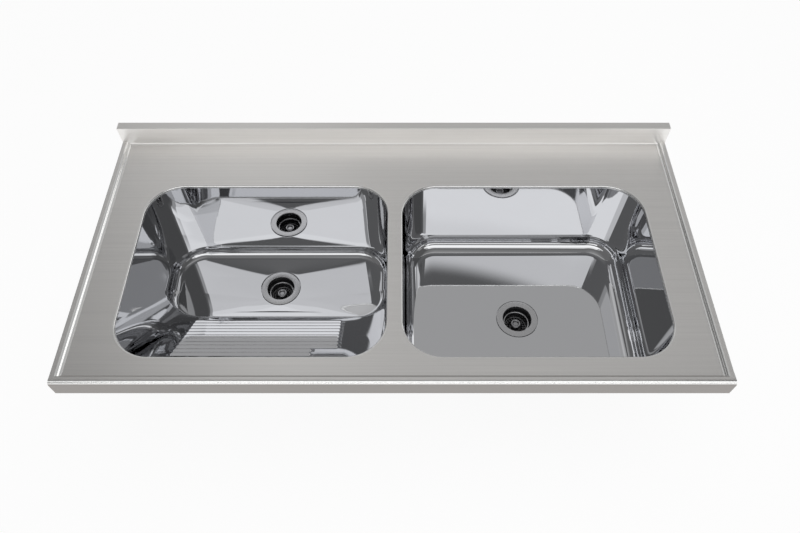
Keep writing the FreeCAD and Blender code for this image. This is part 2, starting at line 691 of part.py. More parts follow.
def make_basket_knob(stud_low):
    """Turned knob with a hollow in its crown, a foot on the basket floor and a stud to the stopper nut."""
    floor_top = -LEDGE_DEPTH + BASKET_SEAT_GAP - BASKET_DEPTH + BASKET_SHEET
    foot_top = floor_top + KNOB_FOOT_HEIGHT
    top = foot_top + KNOB_HEIGHT
    crown = (KNOB_RADIUS - KNOB_DISH_RADIUS) / 2
    crown_u = KNOB_DISH_RADIUS + crown
    slant = crown * math.sqrt(0.5)
    crest = top - crown
    return turned((0, stud_low), [
        (STUD_RADIUS, stud_low),
        (STUD_RADIUS, floor_top),
        (KNOB_FOOT_RADIUS, floor_top),
        (KNOB_FOOT_RADIUS, foot_top),
        (KNOB_RADIUS, foot_top + KNOB_HEIGHT - 2 * crown),
        (KNOB_RADIUS, crest),
        ((crown_u + slant, crest + slant), (crown_u, top)),
        ((crown_u - slant, crest + slant), (KNOB_DISH_RADIUS, crest)),
        (0, crest),
    ])


def make_stopper(low, high):
    """Rubber disc with bevelled edges."""
    edge = STOPPER_EDGE
    return turned((STUD_RADIUS, low), [
        (STOPPER_RADIUS - edge, low),
        (STOPPER_RADIUS, low + edge),
        (STOPPER_RADIUS, high - edge),
        (STOPPER_RADIUS - edge, high),
        (STUD_RADIUS, high),
    ])


def make_stopper_nut(high):
    low = high - STOPPER_NUT_HEIGHT
    corners = []
    for i in range(STOPPER_NUT_SIDES + 1):
        angle = math.radians(360 * i / STOPPER_NUT_SIDES)
        corners.append(FreeCAD.Vector(
            STOPPER_NUT_RADIUS * math.cos(angle), STOPPER_NUT_RADIUS * math.sin(angle), low,
        ))
    nut = prism(Part.makePolygon(corners), high)
    return nut.cut(disc(STUD_RADIUS, low - CUT_MARGIN, high + CUT_MARGIN))


def make_drain(bowl):
    """All pieces of one drain, stacked from the bowl floor downwards, then set in their bowl."""
    seat = -SEAT_DEPTH
    gasket_high = seat - BOWL_SHEET
    washer_high = gasket_high - GASKET_THICKNESS
    nut_high = washer_high - WASHER_THICKNESS
    basket_floor = -LEDGE_DEPTH + BASKET_SEAT_GAP - BASKET_DEPTH
    stopper_low = -CUP_DEPTH + STOPPER_GAP
    stopper_high = stopper_low + STOPPER_THICKNESS
    stud_low = stopper_low - STOPPER_NUT_HEIGHT - STUD_TAIL
    pieces = {
        "drain_trim": make_drain_trim(),
        "valve_body": make_valve_body(),
        "flange_seal": ring(FLOOR_HOLE, TRIM_RADIUS, seat, seat + SEAL_THICKNESS),
        "body_gasket": ring(NUT_BORE, GASKET_RADIUS, washer_high, gasket_high),
        "slip_washer": ring(NUT_BORE, GASKET_RADIUS, nut_high, washer_high),
        "lock_nut": make_lock_nut(nut_high),
        "basket": make_basket(),
        "basket_knob": make_basket_knob(stud_low),
        "stopper_sleeve": ring(STUD_RADIUS, SLEEVE_RADIUS, stopper_high, basket_floor),
        "stopper": make_stopper(stopper_low, stopper_high),
        "stopper_nut": make_stopper_nut(stopper_low),
    }
    for shape in pieces.values():
        shape.translate(FreeCAD.Vector(bowl.x, bowl.drain_y, drain_level(bowl)))
    return pieces


def make_sink():
    nodes = {"worktop": make_worktop()}
    nodes.update(make_rails())
    for bowl in BOWLS:
        nodes[bowl.name + "_bowl"] = make_bowl(bowl)
        nodes[bowl.name + "_sound_pad"] = make_sound_pad(bowl)
        for name, shape in make_drain(bowl).items():
            nodes[bowl.name + "_" + name] = shape
    return nodes


os.makedirs("parts", exist_ok=True)
for name, shape in make_sink().items():
    print(name, "solids", len(shape.Solids), "valid", shape.isValid(), "mm3", round(shape.Volume, 1))
    shape.exportStep("parts/" + name + ".step")
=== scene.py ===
import math
from collections import namedtuple

import bmesh
import bpy
from bpy.props import FloatProperty, FloatVectorProperty, IntProperty, PointerProperty
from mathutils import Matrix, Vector


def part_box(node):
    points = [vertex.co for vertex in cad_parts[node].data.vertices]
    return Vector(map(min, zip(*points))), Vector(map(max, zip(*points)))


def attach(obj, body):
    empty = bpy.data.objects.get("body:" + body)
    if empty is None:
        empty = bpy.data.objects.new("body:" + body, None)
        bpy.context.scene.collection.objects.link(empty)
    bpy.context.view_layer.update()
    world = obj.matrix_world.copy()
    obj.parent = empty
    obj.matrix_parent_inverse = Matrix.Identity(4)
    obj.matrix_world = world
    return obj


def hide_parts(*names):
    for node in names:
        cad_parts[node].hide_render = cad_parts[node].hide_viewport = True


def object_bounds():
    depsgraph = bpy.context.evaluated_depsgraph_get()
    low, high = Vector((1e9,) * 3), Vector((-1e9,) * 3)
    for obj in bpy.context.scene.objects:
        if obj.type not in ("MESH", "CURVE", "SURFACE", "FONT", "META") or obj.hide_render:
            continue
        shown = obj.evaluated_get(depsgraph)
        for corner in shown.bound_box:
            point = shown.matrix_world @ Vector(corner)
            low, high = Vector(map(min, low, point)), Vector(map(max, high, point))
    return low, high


bl_info = {
    "name": "Laundry Sink",
    "version": (1, 0, 0),
    "blender": (4, 5, 0),
    "location": "3D View > Sidebar > Sink",
    "description": "Steel laundry sink with a washboard bowl, a rinse bowl and basket drains",
    "category": "Add Mesh",
}

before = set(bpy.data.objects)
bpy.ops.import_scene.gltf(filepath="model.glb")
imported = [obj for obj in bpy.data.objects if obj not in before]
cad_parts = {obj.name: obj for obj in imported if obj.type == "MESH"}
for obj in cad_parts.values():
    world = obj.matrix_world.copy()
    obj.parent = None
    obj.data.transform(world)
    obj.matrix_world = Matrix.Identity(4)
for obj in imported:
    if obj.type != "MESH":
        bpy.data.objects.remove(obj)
cad_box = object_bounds()
worktop_low, worktop_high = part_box("worktop")

MM = 0.001
SINK_BODY = "sink"
UP = Vector((0, 0, 1))
FORWARDS = Vector((0, -1, 0))
# Points closer together than this are one
MERGE = 0.01 * MM
# Angles in degrees above which edges of pressed sheet and of turned pieces stay hard
SHEET_ANGLE = 40
TURNED_ANGLE = 32
# Steps of rounded sections: bends, the outer edge of a rim, small edges and the knob's crown
BEND_STEPS = 8
NOSE_STEPS = 10
FINE_STEPS = 6
CROWN_STEPS = 16
# Steps round a turned piece and round a strainer hole
TURN_STEPS = 96
HOLE_STEPS = 14
# Weight of large faces in the shading, out of 100
FLAT_WEIGHT = 75


def size(name, description, millimetres):
    """Length property whose default is written in millimetres."""
    return FloatProperty(
        name=name, description=description, default=millimetres * MM, unit="LENGTH", precision=4
    )


def share(name, description, value):
    """Plain number from 0 to 1."""
    return FloatProperty(
        name=name, description=description, default=value, min=0, max=1, subtype="FACTOR"
    )


def count(name, description, value):
    """Whole number."""
    return IntProperty(name=name, description=description, default=value, min=0)


def tint(name, description, colour):
    """Linear colour."""
    return FloatVectorProperty(
        name=name, description=description, default=colour, subtype="COLOR", size=3, min=0, max=1
    )


class WorktopSizes(bpy.types.PropertyGroup):
    """Folded sheet with raised rims and a rear upstand"""

    length: size("Length", "Worktop from left to right", (worktop_high.x - worktop_low.x) / MM)
    depth: size("Depth", "Worktop from front to back", (worktop_high.y - worktop_low.y) / MM)
    sheet: size("Sheet", "Thickness of the sheet", 0.8)
    edge_height: size("Edge height", "Rest plane to the top of the raised rim", 40)
    rim_rise: size("Rim rise", "Raised rim above the deck", 6)
    rim_width: size("Rim width", "Outer face to the foot of the slope on the deck", 19)
    side_slope: size("Side slope", "Plan width of the slope down to the deck at the sides", 10)
    side_radius: size("Side radius", "Rounding of the outer top edge at the sides", 2)
    front_slope: size("Front slope", "Plan width of the slope down to the deck at the front", 7)
    nose_radius: size("Nose radius", "Rounding of the front edge", 9.5)
    corner_gap: size("Corner gap", "Straight side left beside the front slope", 2)
    upstand_rise: size("Upstand rise", "Upstand above the raised rim", 40)
    upstand_thickness: size("Upstand thickness", "Front face to back face", 20)
    foot_radius: size("Upstand foot radius", "Rounding from the deck into the upstand", 4)
    upstand_radius: size("Upstand edge radius", "Rounding of the upstand's top edges", 2)
    hem: size("Hem", "Lower edge turned inwards", 15)
    lip_radius: size("Lip radius", "Deck edge rolled down into a bowl", 3)
    lip_depth: size("Lip depth", "Deck top to the weld line of a bowl", 5)


class BowlMouthSizes(bpy.types.PropertyGroup):
    """Outline that the two bowls share at the deck"""

    length: size("Length", "Bowl from left to right", 500)
    width: size("Width", "Bowl from front to back", 400)
    front: size("Front", "Place of the front edge along Y", -244)
    corner: size("Corner radius", "Corners at the deck", 75)
    sheet: size("Sheet", "Thickness of the pressed sheet", 0.8)


class LaundryBowlSizes(bpy.types.PropertyGroup):
    """Bowl with the washboard"""

    x: size("Place", "Middle of the bowl along X", -262.5)
    depth: size("Depth", "Deck to the edge of the floor", 234.5)
    floor_radius: size("Floor radius", "Rounding between walls and floor", 21)
    fold_radius: size("Fold radius", "Rounding between the washboard and the floor", 6)
    floor_corner: size("Floor corner", "Corner radius at the floor", 70)
    side_run: size("Side run", "How far a side wall comes in on its way down", 3)
    back_run: size("Back run", "How far the back wall comes in", 4.5)
    front_run: size("Washboard run", "How far the washboard comes in", 217.5)
    fall: size("Fall", "Fall of the floor to the drain", 4.5)
    drain_y: size("Drain", "Place of the drain along Y", 53)
    ribs: count("Ribs", "Ribs across the washboard", 11)
    rib_pitch: size("Rib pitch", "Along the slope", 25)
    rib_width: size("Rib width", "Across one rib", 19.5)
    rib_height: size("Rib height", "Above the washboard", 4.3)
    rib_crest: size("Rib crest", "Rounding along the top of a rib", 1.2)
    rib_left: size("Rib left", "Middle of the bowl to the left end of the top rib", 147)
    rib_left_step: size("Left step", "How much further left each rib starts than the last", 3.1)
    rib_right: size("Rib right", "Middle of the bowl to the right end of a full top rib", 166)
    rib_right_step: size("Right step", "How much further left each rib ends than the last", 1)
    first_rib: size("First rib", "Weld line to the middle of the top rib", 19.9)
    short_ribs: count("Short ribs", "Top ribs that stop early", 2)
    short_cut: size("Short rib cut", "How early the short ribs stop", 48)


class RinseBowlSizes(bpy.types.PropertyGroup):
    """Plain bowl"""

    x: size("Place", "Middle of the bowl along X", 268.5)
    depth: size("Depth", "Deck to the floor", 195.5)
    floor_radius: size("Floor radius", "Rounding between walls and floor", 34)
    fold_radius: size("Fold radius", "Rounding between the front wall and the floor", 34)
    floor_corner: size("Floor corner", "Corner radius at the floor", 66)
    side_run: size("Side run", "How far a side wall comes in on its way down", 9)
    back_run: size("Back run", "How far the back wall comes in", 9)
    front_run: size("Front run", "How far the front wall comes in", 9)
    fall: size("Fall", "Fall of the floor to the drain", 0)
    drain_y: size("Drain", "Place of the drain along Y", -54)


class DrainSizes(bpy.types.PropertyGroup):
    """Basket drain, heights from the bowl floor"""

    seat_radius: size("Seat radius", "Recess of the bowl floor under the trim", 45.5)
    seat_land: size("Seat land", "Flat ring round the recess", 2)
    seat_depth: size("Seat depth", "Depth of the recess", 3)
    seat_edge: size("Seat edge", "Rounding of the recess's edge", 0.4)
    floor_hole: size("Floor hole", "Hole in the bowl floor", 35.8)
    trim_radius: size("Trim radius", "Outside of the steel ring", 44.5)
    trim_bore: size("Trim bore", "Inside of the steel ring", 31)
    trim_sheet: size("Trim sheet", "Thickness of the ring above the floor", 0.8)
    trim_skirt: size("Trim skirt", "Lip turned down into the cup", 3)
    trim_edge: size("Trim edge", "Rounding of the ring's edges", 0.7)
    trim_drop: size("Trim drop", "Ring's outer lip and the cup's flange below the floor", 2)
    flange_gap: size("Flange gap", "Play of the cup's flange in the ring", 0.2)
    cup_bore: size("Cup bore", "Upper bore of the cup", 32)
    cup_wall: size("Cup wall", "Wall of the moulding", 3)
    ledge_depth: size("Ledge depth", "Floor to the ledge for the basket", 16)
    lower_bore: size("Lower bore", "Bore below the ledge", 27)
    cup_depth: size("Cup depth", "Floor to the bottom of the cup", 50)
    thread_length: size("Thread length", "Threaded part below the flange", 34)
    outlet_bore: size("Outlet bore", "Water way", 19.5)
    outlet_radius: size("Outlet radius", "Outside of the outlet", 23.9)
    outlet_length: size("Outlet length", "Below the cup", 34)
    basket_rim: size("Basket rim", "Outside of the basket's rim", 30.2)
    basket_wall: size("Basket wall", "Outside of the basket's wall", 25.5)
    basket_depth: size("Basket depth", "Rim to floor", 18)
    basket_bend: size("Basket bend", "Rounding between wall and floor", 2)
    basket_sheet: size("Basket sheet", "Thickness", 0.8)
    basket_gap: size("Basket gap", "Rim above the ledge", 0.1)
    hole_radius: size("Hole radius", "Strainer holes", 1.5)
    outer_ring: size("Outer ring", "Radius of the outer ring of holes", 21)
    inner_ring: size("Inner ring", "Radius of the inner ring of holes", 16.6)
    outer_holes: count("Outer holes", "Holes in the outer ring", 22)
    inner_holes: count("Inner holes", "Holes in the inner ring", 16)
    knob_radius: size("Knob radius", "Lift knob", 12)
    knob_height: size("Knob height", "Head of the knob", 10)
    knob_hollow: size("Knob hollow", "Radius of the hollow in its crown", 5)
    knob_foot_radius: size("Knob foot radius", "Neck under the head", 6)
    knob_foot_height: size("Knob foot height", "Neck above the basket floor", 4.5)
    stud_radius: size("Stud radius", "Stud down to the stopper", 3)
    stud_end: size("Stud end", "Lower end of the stud below the floor", 56.2)


class SinkFinishes(bpy.types.PropertyGroup):
    """Colours and shine"""

    brushed: tint("Brushed steel", "Deck, rim tops and upstand", (0.89, 0.875, 0.855))
    # The front apron colour is a darker copy of the brushed steel, as painted shade on the upright
    # faces.
    apron: tint("Front apron", "Upright faces at the front and back", (0.38, 0.36, 0.345))
    # The folded sheet colour is a darker copy of the brushed steel, as painted shade on the ends
    # and the slope behind the front rim.
    fold: tint("Folded sheet", "Ends, and the slope behind the front rim", (0.5, 0.485, 0.47))
    # The rim bend colour is lighter than the brushed steel as a painted highlight; its lower
    # roughness is a real smoother polish.
    rim: tint("Rim edge", "Bright bends of the raised rims", (0.95, 0.95, 0.94))
    lip: tint("Rolled lip", "Worn bright edge round a bowl", (0.88, 0.88, 0.87))
    brushed_roughness: share("Brushed roughness", "Blur of the brushed sheet", 0.33)
    polished: tint("Polished steel", "Inside of the bowls", (0.66, 0.665, 0.68))
    outside: tint("Bowl outside", "Unpolished outside of the bowls", (0.4, 0.4, 0.405))
    polished_roughness: share("Polish", "Blur of the polished bowls", 0.03)
    satin: tint("Satin steel", "Trim rings and basket rims", (0.56, 0.56, 0.57))
    # The basket colour is steel darkened as painted shade inside the drain cup.
    basket: tint("Basket", "Dull inside of the baskets", (0.2, 0.2, 0.205))
    knob: tint("Knob", "Lift knobs", (0.36, 0.36, 0.37))
    satin_roughness: share("Satin roughness", "Blur of the trim rings", 0.26)
    cup: tint("Cup", "Black plastic of the drains", (0.012, 0.012, 0.013))
    moulding: tint("Moulding", "Nuts and washers under the bowls", (0.72, 0.72, 0.70))
    rubber: tint("Rubber", "Seals and stoppers", (0.022, 0.022, 0.023))
    pad: tint("Damping pad", "Pads under the bowl floors", (0.05, 0.051, 0.055))
    rail: tint("Rails", "Galvanised rails under the deck", (0.50, 0.51, 0.52))
    floor: tint("Studio floor", "Floor under the sink", (0.9, 0.9, 0.9))


class StageSettings(bpy.types.PropertyGroup):
    """Floor and light"""

    floor_white: share("Floor white", "Plain white in place of the floor's shading", 0.92)
    lamp_power: FloatProperty(
        name="Lamp power", description="Overhead lamp", default=60, min=0, unit="POWER"
    )


# Shapes

def arc(centre, radius, start, end, steps):
    """Points of an arc in a section, angles in degrees, both ends included."""
    points = []
    for i in range(steps + 1):
        turn = math.radians(start + (end - start) * i / steps)
        points.append((centre[0] + radius * math.cos(turn), centre[1] + radius * math.sin(turn)))
    return points


def draw_line(bm, points):
    """Chain of edges grown from one vertex."""
    last = bmesh.ops.create_vert(bm, co=points[0])["vert"][0]
    edges = []
    for point in points[1:]:
        grown = bmesh.ops.extrude_vert_indiv(bm, verts=[last])
        last = grown["verts"][0]
        last.co = point
        edges += grown["edges"]
    return edges


def pull(bm, edges, place):
    """Extrudes edges once, moves the new vertices to their place and returns the new edges."""
    made = bmesh.ops.extrude_edge_only(bm, edges=edges)["geom"]
    verts = {item for item in made if isinstance(item, bmesh.types.BMVert)}
    for vert in verts:
        vert.co = place(vert)
    return [
        item for item in made
        if isinstance(item, bmesh.types.BMEdge) and all(vert in verts for vert in item.verts)
    ]


def lathe(bm, profile, centre):
    """Turns a profile of radius and height about the upright axis through a point."""
    x, y, z = centre
    edges = draw_line(bm, [(x + radius, y, z + height) for radius, height in profile])
    verts = list({vert for edge in edges for vert in edge.verts})
    bmesh.ops.spin(
        bm, geom=verts + edges, cent=centre, axis=UP, dvec=(0, 0, 0), angle=2 * math.pi,
        steps=TURN_STEPS, use_merge=True, use_duplicate=False,
    )


def weld(bm):
    """Closes seams and poles and turns the faces outwards."""
    bmesh.ops.remove_doubles(bm, verts=bm.verts[:], dist=MERGE)
    bmesh.ops.recalc_face_normals(bm, faces=bm.faces[:])


def soften(bm, sharp_angle):
    """Smooth faces with hard edges where they meet at more than an angle in degrees."""
    for face in bm.faces:
        face.smooth = True
    limit = math.radians(sharp_angle)
    for edge in bm.edges:
        edge.smooth = not (edge.is_manifold and edge.calc_face_angle() > limit)


def turn_sheet(bm, direction, towards):
    """Flips an open sheet unless its outermost face in a direction looks the wanted way."""
    bm.normal_update()
    outermost = max(bm.faces, key=lambda face: face.calc_center_median().dot(direction))
    if outermost.normal.dot(towards) < 0:
        bmesh.ops.reverse_faces(bm, faces=bm.faces[:])


def closed_line(bm, points):
    """Outline drawn through points and back to the first; returns its edges."""
    drawn = draw_line(bm, points + points[:1])
    ends = list({vert for edge in drawn for vert in edge.verts})
    bmesh.ops.remove_doubles(bm, verts=ends, dist=MERGE)
    return [edge for edge in bm.edges if edge.is_wire]


def mesh_object(bm, name, materials):
    """Turns a bmesh into an object of the scene."""
    mesh = bpy.data.meshes.new(name)
    bm.to_mesh(mesh)
    bm.free()
    for material in materials:
        mesh.materials.append(material)
    made = bpy.data.objects.new(name, mesh)
    bpy.context.scene.collection.objects.link(made)
    return made


def make_piece(bm, name, body, materials, nodes):
    """Piece that rides a body and stands for CAD nodes."""
    piece = mesh_object(bm, name, materials)
    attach(piece, body)
    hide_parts(*nodes)
    return piece


def give_thickness(piece, thickness, other_side=0):
    """Sheet thickness behind the faces; the far side may have a finish of its own."""
    wall = piece.modifiers.new("Sheet", "SOLIDIFY")
    wall.thickness = thickness
    wall.material_offset = other_side
    wall.offset = -1
    wall.use_even_offset = True


def keep_flats(piece):
    """Lets large flat faces set the shading, so that a rounded edge doesn't bend it."""
    even = piece.modifiers.new("Flats", "WEIGHTED_NORMAL")
    even.mode = "FACE_AREA"
    even.weight = FLAT_WEIGHT
    even.keep_sharp = True


# Worktop

# The fold and apron finishes are darker copies of the brushed sheet, as painted shade; the rim bend
# finish is a lighter, smoother one, as painted highlight.
WORKTOP_FINISHES = ("brushed sheet", "rolled lip", "folded sheet", "front apron", "rim edge")
SHEET_SLOT, LIP_SLOT, FOLD_SHADE_SLOT, APRON_SHADE_SLOT, EDGE_HIGHLIGHT_SLOT = range(len(WORKTOP_FINISHES))
# Share of a face's normal along X or Y from which it counts as sloping, rounded or upright
SLOPING = 0.1
ROUNDED = 0.3
UPRIGHT = 0.88
UPRIGHT_SIDE = 0.9
# Steps round a corner of a rolled mouth, and shares along the sides between the corners
MOUTH_STEPS = 24
MOUTH_SPLITS = [0.01, 0.5, 0.99]


def deck_height(sizes):
    """Rest plane of the worktop to the top of its deck."""
    return sizes.edge_height - sizes.rim_rise


def upstand_face(sizes):
    """Place of the upstand's front face along Y."""
    return sizes.depth / 2 - sizes.upstand_thickness


def rim_profile(sizes, slope, edge):
    """Inset from the outer face and height, from the foot of the slope over the edge to the hem."""
    run = slope / 2
    rise = sizes.rim_rise / 2
    radius = (run**2 + rise**2) / (2 * rise)
    sweep = math.degrees(2 * math.atan2(rise, run))
    foot = (sizes.rim_width, deck_height(sizes) + radius)
    crest = (sizes.rim_width - slope, sizes.edge_height - radius)
    shoulder = (edge, sizes.edge_height - edge)
    return (
        arc(foot, radius, -90, -90 - sweep, BEND_STEPS)
        + arc(crest, radius, 90 - sweep, 90, BEND_STEPS)[1:]
        + arc(shoulder, edge, 90, 180, NOSE_STEPS)
        + [(0, 0), (sizes.hem, 0)]
    )


def upstand_profile(sizes):
    """Place along Y and height, from the deck up the face, over the top and down to the hem."""
    back = sizes.depth / 2
    face = upstand_face(sizes)
    top = sizes.edge_height + sizes.upstand_rise
    foot = (face - sizes.foot_radius, deck_height(sizes) + sizes.foot_radius)
    edge = sizes.upstand_radius
    return (
        arc(foot, sizes.foot_radius, -90, 0, BEND_STEPS)
        + arc((face + edge, top - edge), edge, 180, 90, FINE_STEPS)
        + arc((back - edge, top - edge), edge, 90, 0, FINE_STEPS)
        + [(back, 0), (back - sizes.hem, 0)]
    )


def mouth_spots(corner_steps, splits):
    """Corner, turn within it and share along the side after it, for each vertex of an outline."""
    spots = []
    for corner in range(4):
        for i in range(corner_steps + 1):
            spots.append((corner, i / corner_steps, 0))
        for along in splits[corner]:
            spots.append((corner, 1, along))
    return spots


def outline_place(spot, x0, x1, y0, y1, radius):
    """Point and outward direction of a spot on a rounded rectangle.

    The corners count anticlockwise from the front right.
    """
    corner, turn, along = spot
    centres = (
        (x1 - radius, y0 + radius), (x1 - radius, y1 - radius),
        (x0 + radius, y1 - radius), (x0 + radius, y0 + radius),
    )
    angle = math.radians(90 * corner - 90 + 90 * turn)
    outward = Vector((math.cos(angle), math.sin(angle), 0))
    here = Vector((*centres[corner], 0)) + radius * outward
    after = Vector((*centres[(corner + 1) % 4], 0)) + radius * outward
    return here.lerp(after, along), outward


def outline_loop(bm, spots, place):
    """Closed loop of edges with a vertex for each spot; the layer keeps which spot a vertex is."""
    number = bm.verts.layers.int.get("spot") or bm.verts.layers.int.new("spot")
    verts = bmesh.ops.create_circle(bm, segments=len(spots), radius=1)["verts"]
    for i, vert in enumerate(verts):
        vert[number] = i
        vert.co = place(spots[i])
    edges = list({edge for vert in verts for edge in vert.link_edges})
    return edges, number


def mouth_edges(mouth, bowl, grow):
    """Left, right, front, back and corner radius of a bowl's mouth, grown outwards."""
    return (
        bowl.x - mouth.length / 2 - grow, bowl.x + mouth.length / 2 + grow,
        mouth.front - grow, mouth.front + mouth.width + grow, mouth.corner + grow,
    )


def roll_lip(bm, sizes, mouth, bowl):
    """Deck edge rolled down to a bowl's weld line; returns its loop in the deck."""
    deck = deck_height(sizes)
    radius = sizes.lip_radius
    spots = mouth_spots(MOUTH_STEPS, [MOUTH_SPLITS] * 4)
    before = set(bm.faces)

    def place(spot, inset, height):
        edges = mouth_edges(mouth, bowl, radius - inset)
        return outline_place(spot, *edges)[0] + (deck - radius + height) * UP

    section = arc((0, 0), radius, 90, 0, BEND_STEPS) + [(radius, radius - sizes.lip_depth)]
    start, number = outline_loop(bm, spots, lambda spot: place(spot, 0, radius))
    loop = start
    for inset, height in section[1:]:
        loop = pull(bm, loop, lambda vert: place(spots[vert[number]], inset, height))
    for face in set(bm.faces) - before:
        face.material_index = LIP_SLOT
    return start


def front_corner(sizes, side, nose):
    """Side inset, place along Y and height of the ring where the front meets a side."""
    ring = []
    for (side_inset, _), (inset, height) in zip(side, nose):
        if inset <= sizes.nose_radius and height > 0:
            above = max(height - sizes.edge_height + sizes.side_radius, 0)
            level = math.sqrt(max(sizes.side_radius**2 - above**2, 0))
            side_inset = sizes.side_radius - level
        ring.append((side_inset, inset - sizes.depth / 2, height))
    return ring


def sweep_rims(bm, sizes):
    """Rims and aprons from the upstand along the left side, the front and the right side."""
    half = sizes.length / 2
    face = upstand_face(sizes)
    side = rim_profile(sizes, sizes.side_slope, sizes.side_radius)
    nose = rim_profile(sizes, sizes.front_slope, sizes.nose_radius)
    number = bm.verts.layers.int.new("spot")

    def side_at(y):
        return [(inset, y, height) for inset, height in side]

    def place(hand, inset, y, height):
        return hand * (half - inset), y, height

    line = draw_line(bm, [place(-1, *spot) for spot in side_at(face)])
    for i, vert in enumerate(bm.verts):
        vert[number] = i
    ahead = side_at(sizes.rim_width + sizes.corner_gap - sizes.depth / 2)
    corner = front_corner(sizes, side, nose)
    for hand, ring in ((-1, ahead), (-1, corner), (1, corner), (1, ahead), (1, side_at(face))):
        line = pull(bm, line, lambda vert: place(hand, *ring[vert[number]]))


def raise_upstand(bm, sizes):
    """Upstand along the back with its two ends closed."""
    half = sizes.length / 2
    profile = upstand_profile(sizes)
    line = draw_line(bm, [(-half, y, height) for y, height in profile])
    pull(bm, line, lambda vert: (half, vert.co.y, vert.co.z))
    cap = profile[BEND_STEPS:-1] + [(upstand_face(sizes), 0)]
    for x in (-half, half):
        bmesh.ops.contextual_create(bm, geom=closed_line(bm, [(x, y, z) for y, z in cap]))


def fill_deck(bm, sizes, mouth, bowls):
    """Deck between the rims, the upstand and the two rolled mouths."""
    rolled = []
    for bowl in bowls:
        rolled += roll_lip(bm, sizes, mouth, bowl)
    side = sizes.length / 2 - sizes.rim_width
    front = sizes.rim_width - sizes.depth / 2
    back = upstand_face(sizes) - sizes.foot_radius
    plan = [(-side, front), (side, front), (side, back), (-side, back)]
    border = closed_line(bm, [(x, y, deck_height(sizes)) for x, y in plan])
    bmesh.ops.triangle_fill(bm, use_beauty=True, edges=border + rolled, normal=UP)


def mark_worktop(bm, sizes):
    """Gives the worktop's folds and upright faces darker finishes as painted shade, and its bright
    edges a lighter, smoother one as painted highlight.
    """
    for face in bm.faces:
        if face.material_index != SHEET_SLOT:
            continue
        inset = face.calc_center_median().y + sizes.depth / 2
        at_front = inset < sizes.nose_radius
        aside, back = abs(face.normal.x), face.normal.y
        if aside > UPRIGHT_SIDE or inset < sizes.rim_width and back > SLOPING:
            face.material_index = FOLD_SHADE_SLOT
        elif at_front and back < -UPRIGHT or back > UPRIGHT:
            face.material_index = APRON_SHADE_SLOT
        elif aside > SLOPING or at_front and back < -ROUNDED:
            face.material_index = EDGE_HIGHLIGHT_SLOT


def build_worktop_sheet(sizes, mouth, bowls):
    """Rims and aprons round three sides, upstand along the back, deck with two rolled mouths."""
    bm = bmesh.new()
    sweep_rims(bm, sizes)
    raise_upstand(bm, sizes)
    fill_deck(bm, sizes, mouth, bowls)
    weld(bm)
    turn_sheet(bm, FORWARDS, FORWARDS)
    mark_worktop(bm, sizes)
    soften(bm, SHEET_ANGLE)
    return bm


# Bowls

Wall = namedtuple("Wall", "rim foot outward lean radius end")
# The side of a bowl's outline that follows the front left corner
FRONT_SIDE = 3
# Steps round a corner and round the foot of a wall
CORNER_STEPS = 20
FOOT_STEPS = 14
# Shares along a plain side, and along the washboard between the ends of its ribs
SIDE_SPLITS = [0.008, 0.03, 0.1, 0.2, 0.3, 0.4, 0.5, 0.6, 0.7, 0.8, 0.9, 0.97, 0.992]
RIB_SPLITS = [0.13, 0.2, 0.3, 0.4, 0.5, 0.6, 0.7, 0.77]
# Start, length and steps of the fine shares where the ribs begin and end
LEFT_ENDS = (0.004, 0.116, 32)
RIGHT_ENDS = (0.79, 0.206, 64)
# Shares of the way down a plain wall, and over the floor from a wall's foot to the drain
WALL_SHARES = [0.01, 0.1, 0.25, 0.4, 0.55, 0.7, 0.85, 0.95, 0.99, 1]
FLOOR_SHARES = (0.01, 0.05, 0.2, 0.4, 0.6, 0.8, 0.95, 0.99, 1)
# Loops over one rib, in half widths from its crest, and the shares that the washboard starts with
# and ends with
RIB_LOOPS = [0.06, 0.13, 0.25, 0.5, 0.93, 1, 1.07]
RIB_FOOT = -1.17
BOARD_START = 0.005
BOARD_END = 0.99
# Degrees of the drain seat that belong to one corner of a bowl
SEAT_CORNER = 12


def bowl_spots(ribbed):
    """Outline spots of a bowl, closer together at the corners' ends and where ribs end."""
    front = SIDE_SPLITS
    if ribbed:
        start, length, steps = LEFT_ENDS
        left = [start + length * i / steps for i in range(steps)]
        start, length, steps = RIGHT_ENDS
        front = left + RIB_SPLITS + [start + length * i / steps for i in range(steps + 1)]
    return mouth_spots(CORNER_STEPS, [SIDE_SPLITS, SIDE_SPLITS, SIDE_SPLITS, front])


def rib_lift(bowl, across, along):
    """Height of the washboard's roof-shaped ribs at a place across and along the slope."""
    half = bowl.rib_width / 2
    crest = bowl.rib_crest
    foot = math.hypot(half, crest)
    lift = 0
    for i in range(bowl.ribs):
        cut = bowl.short_cut if i < bowl.short_ribs else 0
        left = half - bowl.rib_left - i * bowl.rib_left_step
        right = bowl.rib_right - i * bowl.rib_right_step - cut - half
        beyond = max(left - across, across - right, 0)
        off = math.hypot(beyond, along - bowl.first_rib - i * bowl.rib_pitch)
        if off < half:
            lift = max(lift, bowl.rib_height * (foot - math.hypot(off, crest)) / (foot - crest))
    return lift


def wall_shares(bowl, slope, ribbed):
    """Shares of a wall's way down at which the bowl has a loop, close together over the ribs."""
    if not ribbed:
        return WALL_SHARES
    offsets = [RIB_FOOT] + [-off for off in reversed(RIB_LOOPS)] + [0] + RIB_LOOPS
    shares = [BOARD_START]
    for i in range(bowl.ribs):
        crest = bowl.first_rib + i * bowl.rib_pitch
        shares += [(crest + off * bowl.rib_width / 2) / slope for off in offsets]
    return [part for part in shares if 0 < part < BOARD_END] + [BOARD_END, 1]


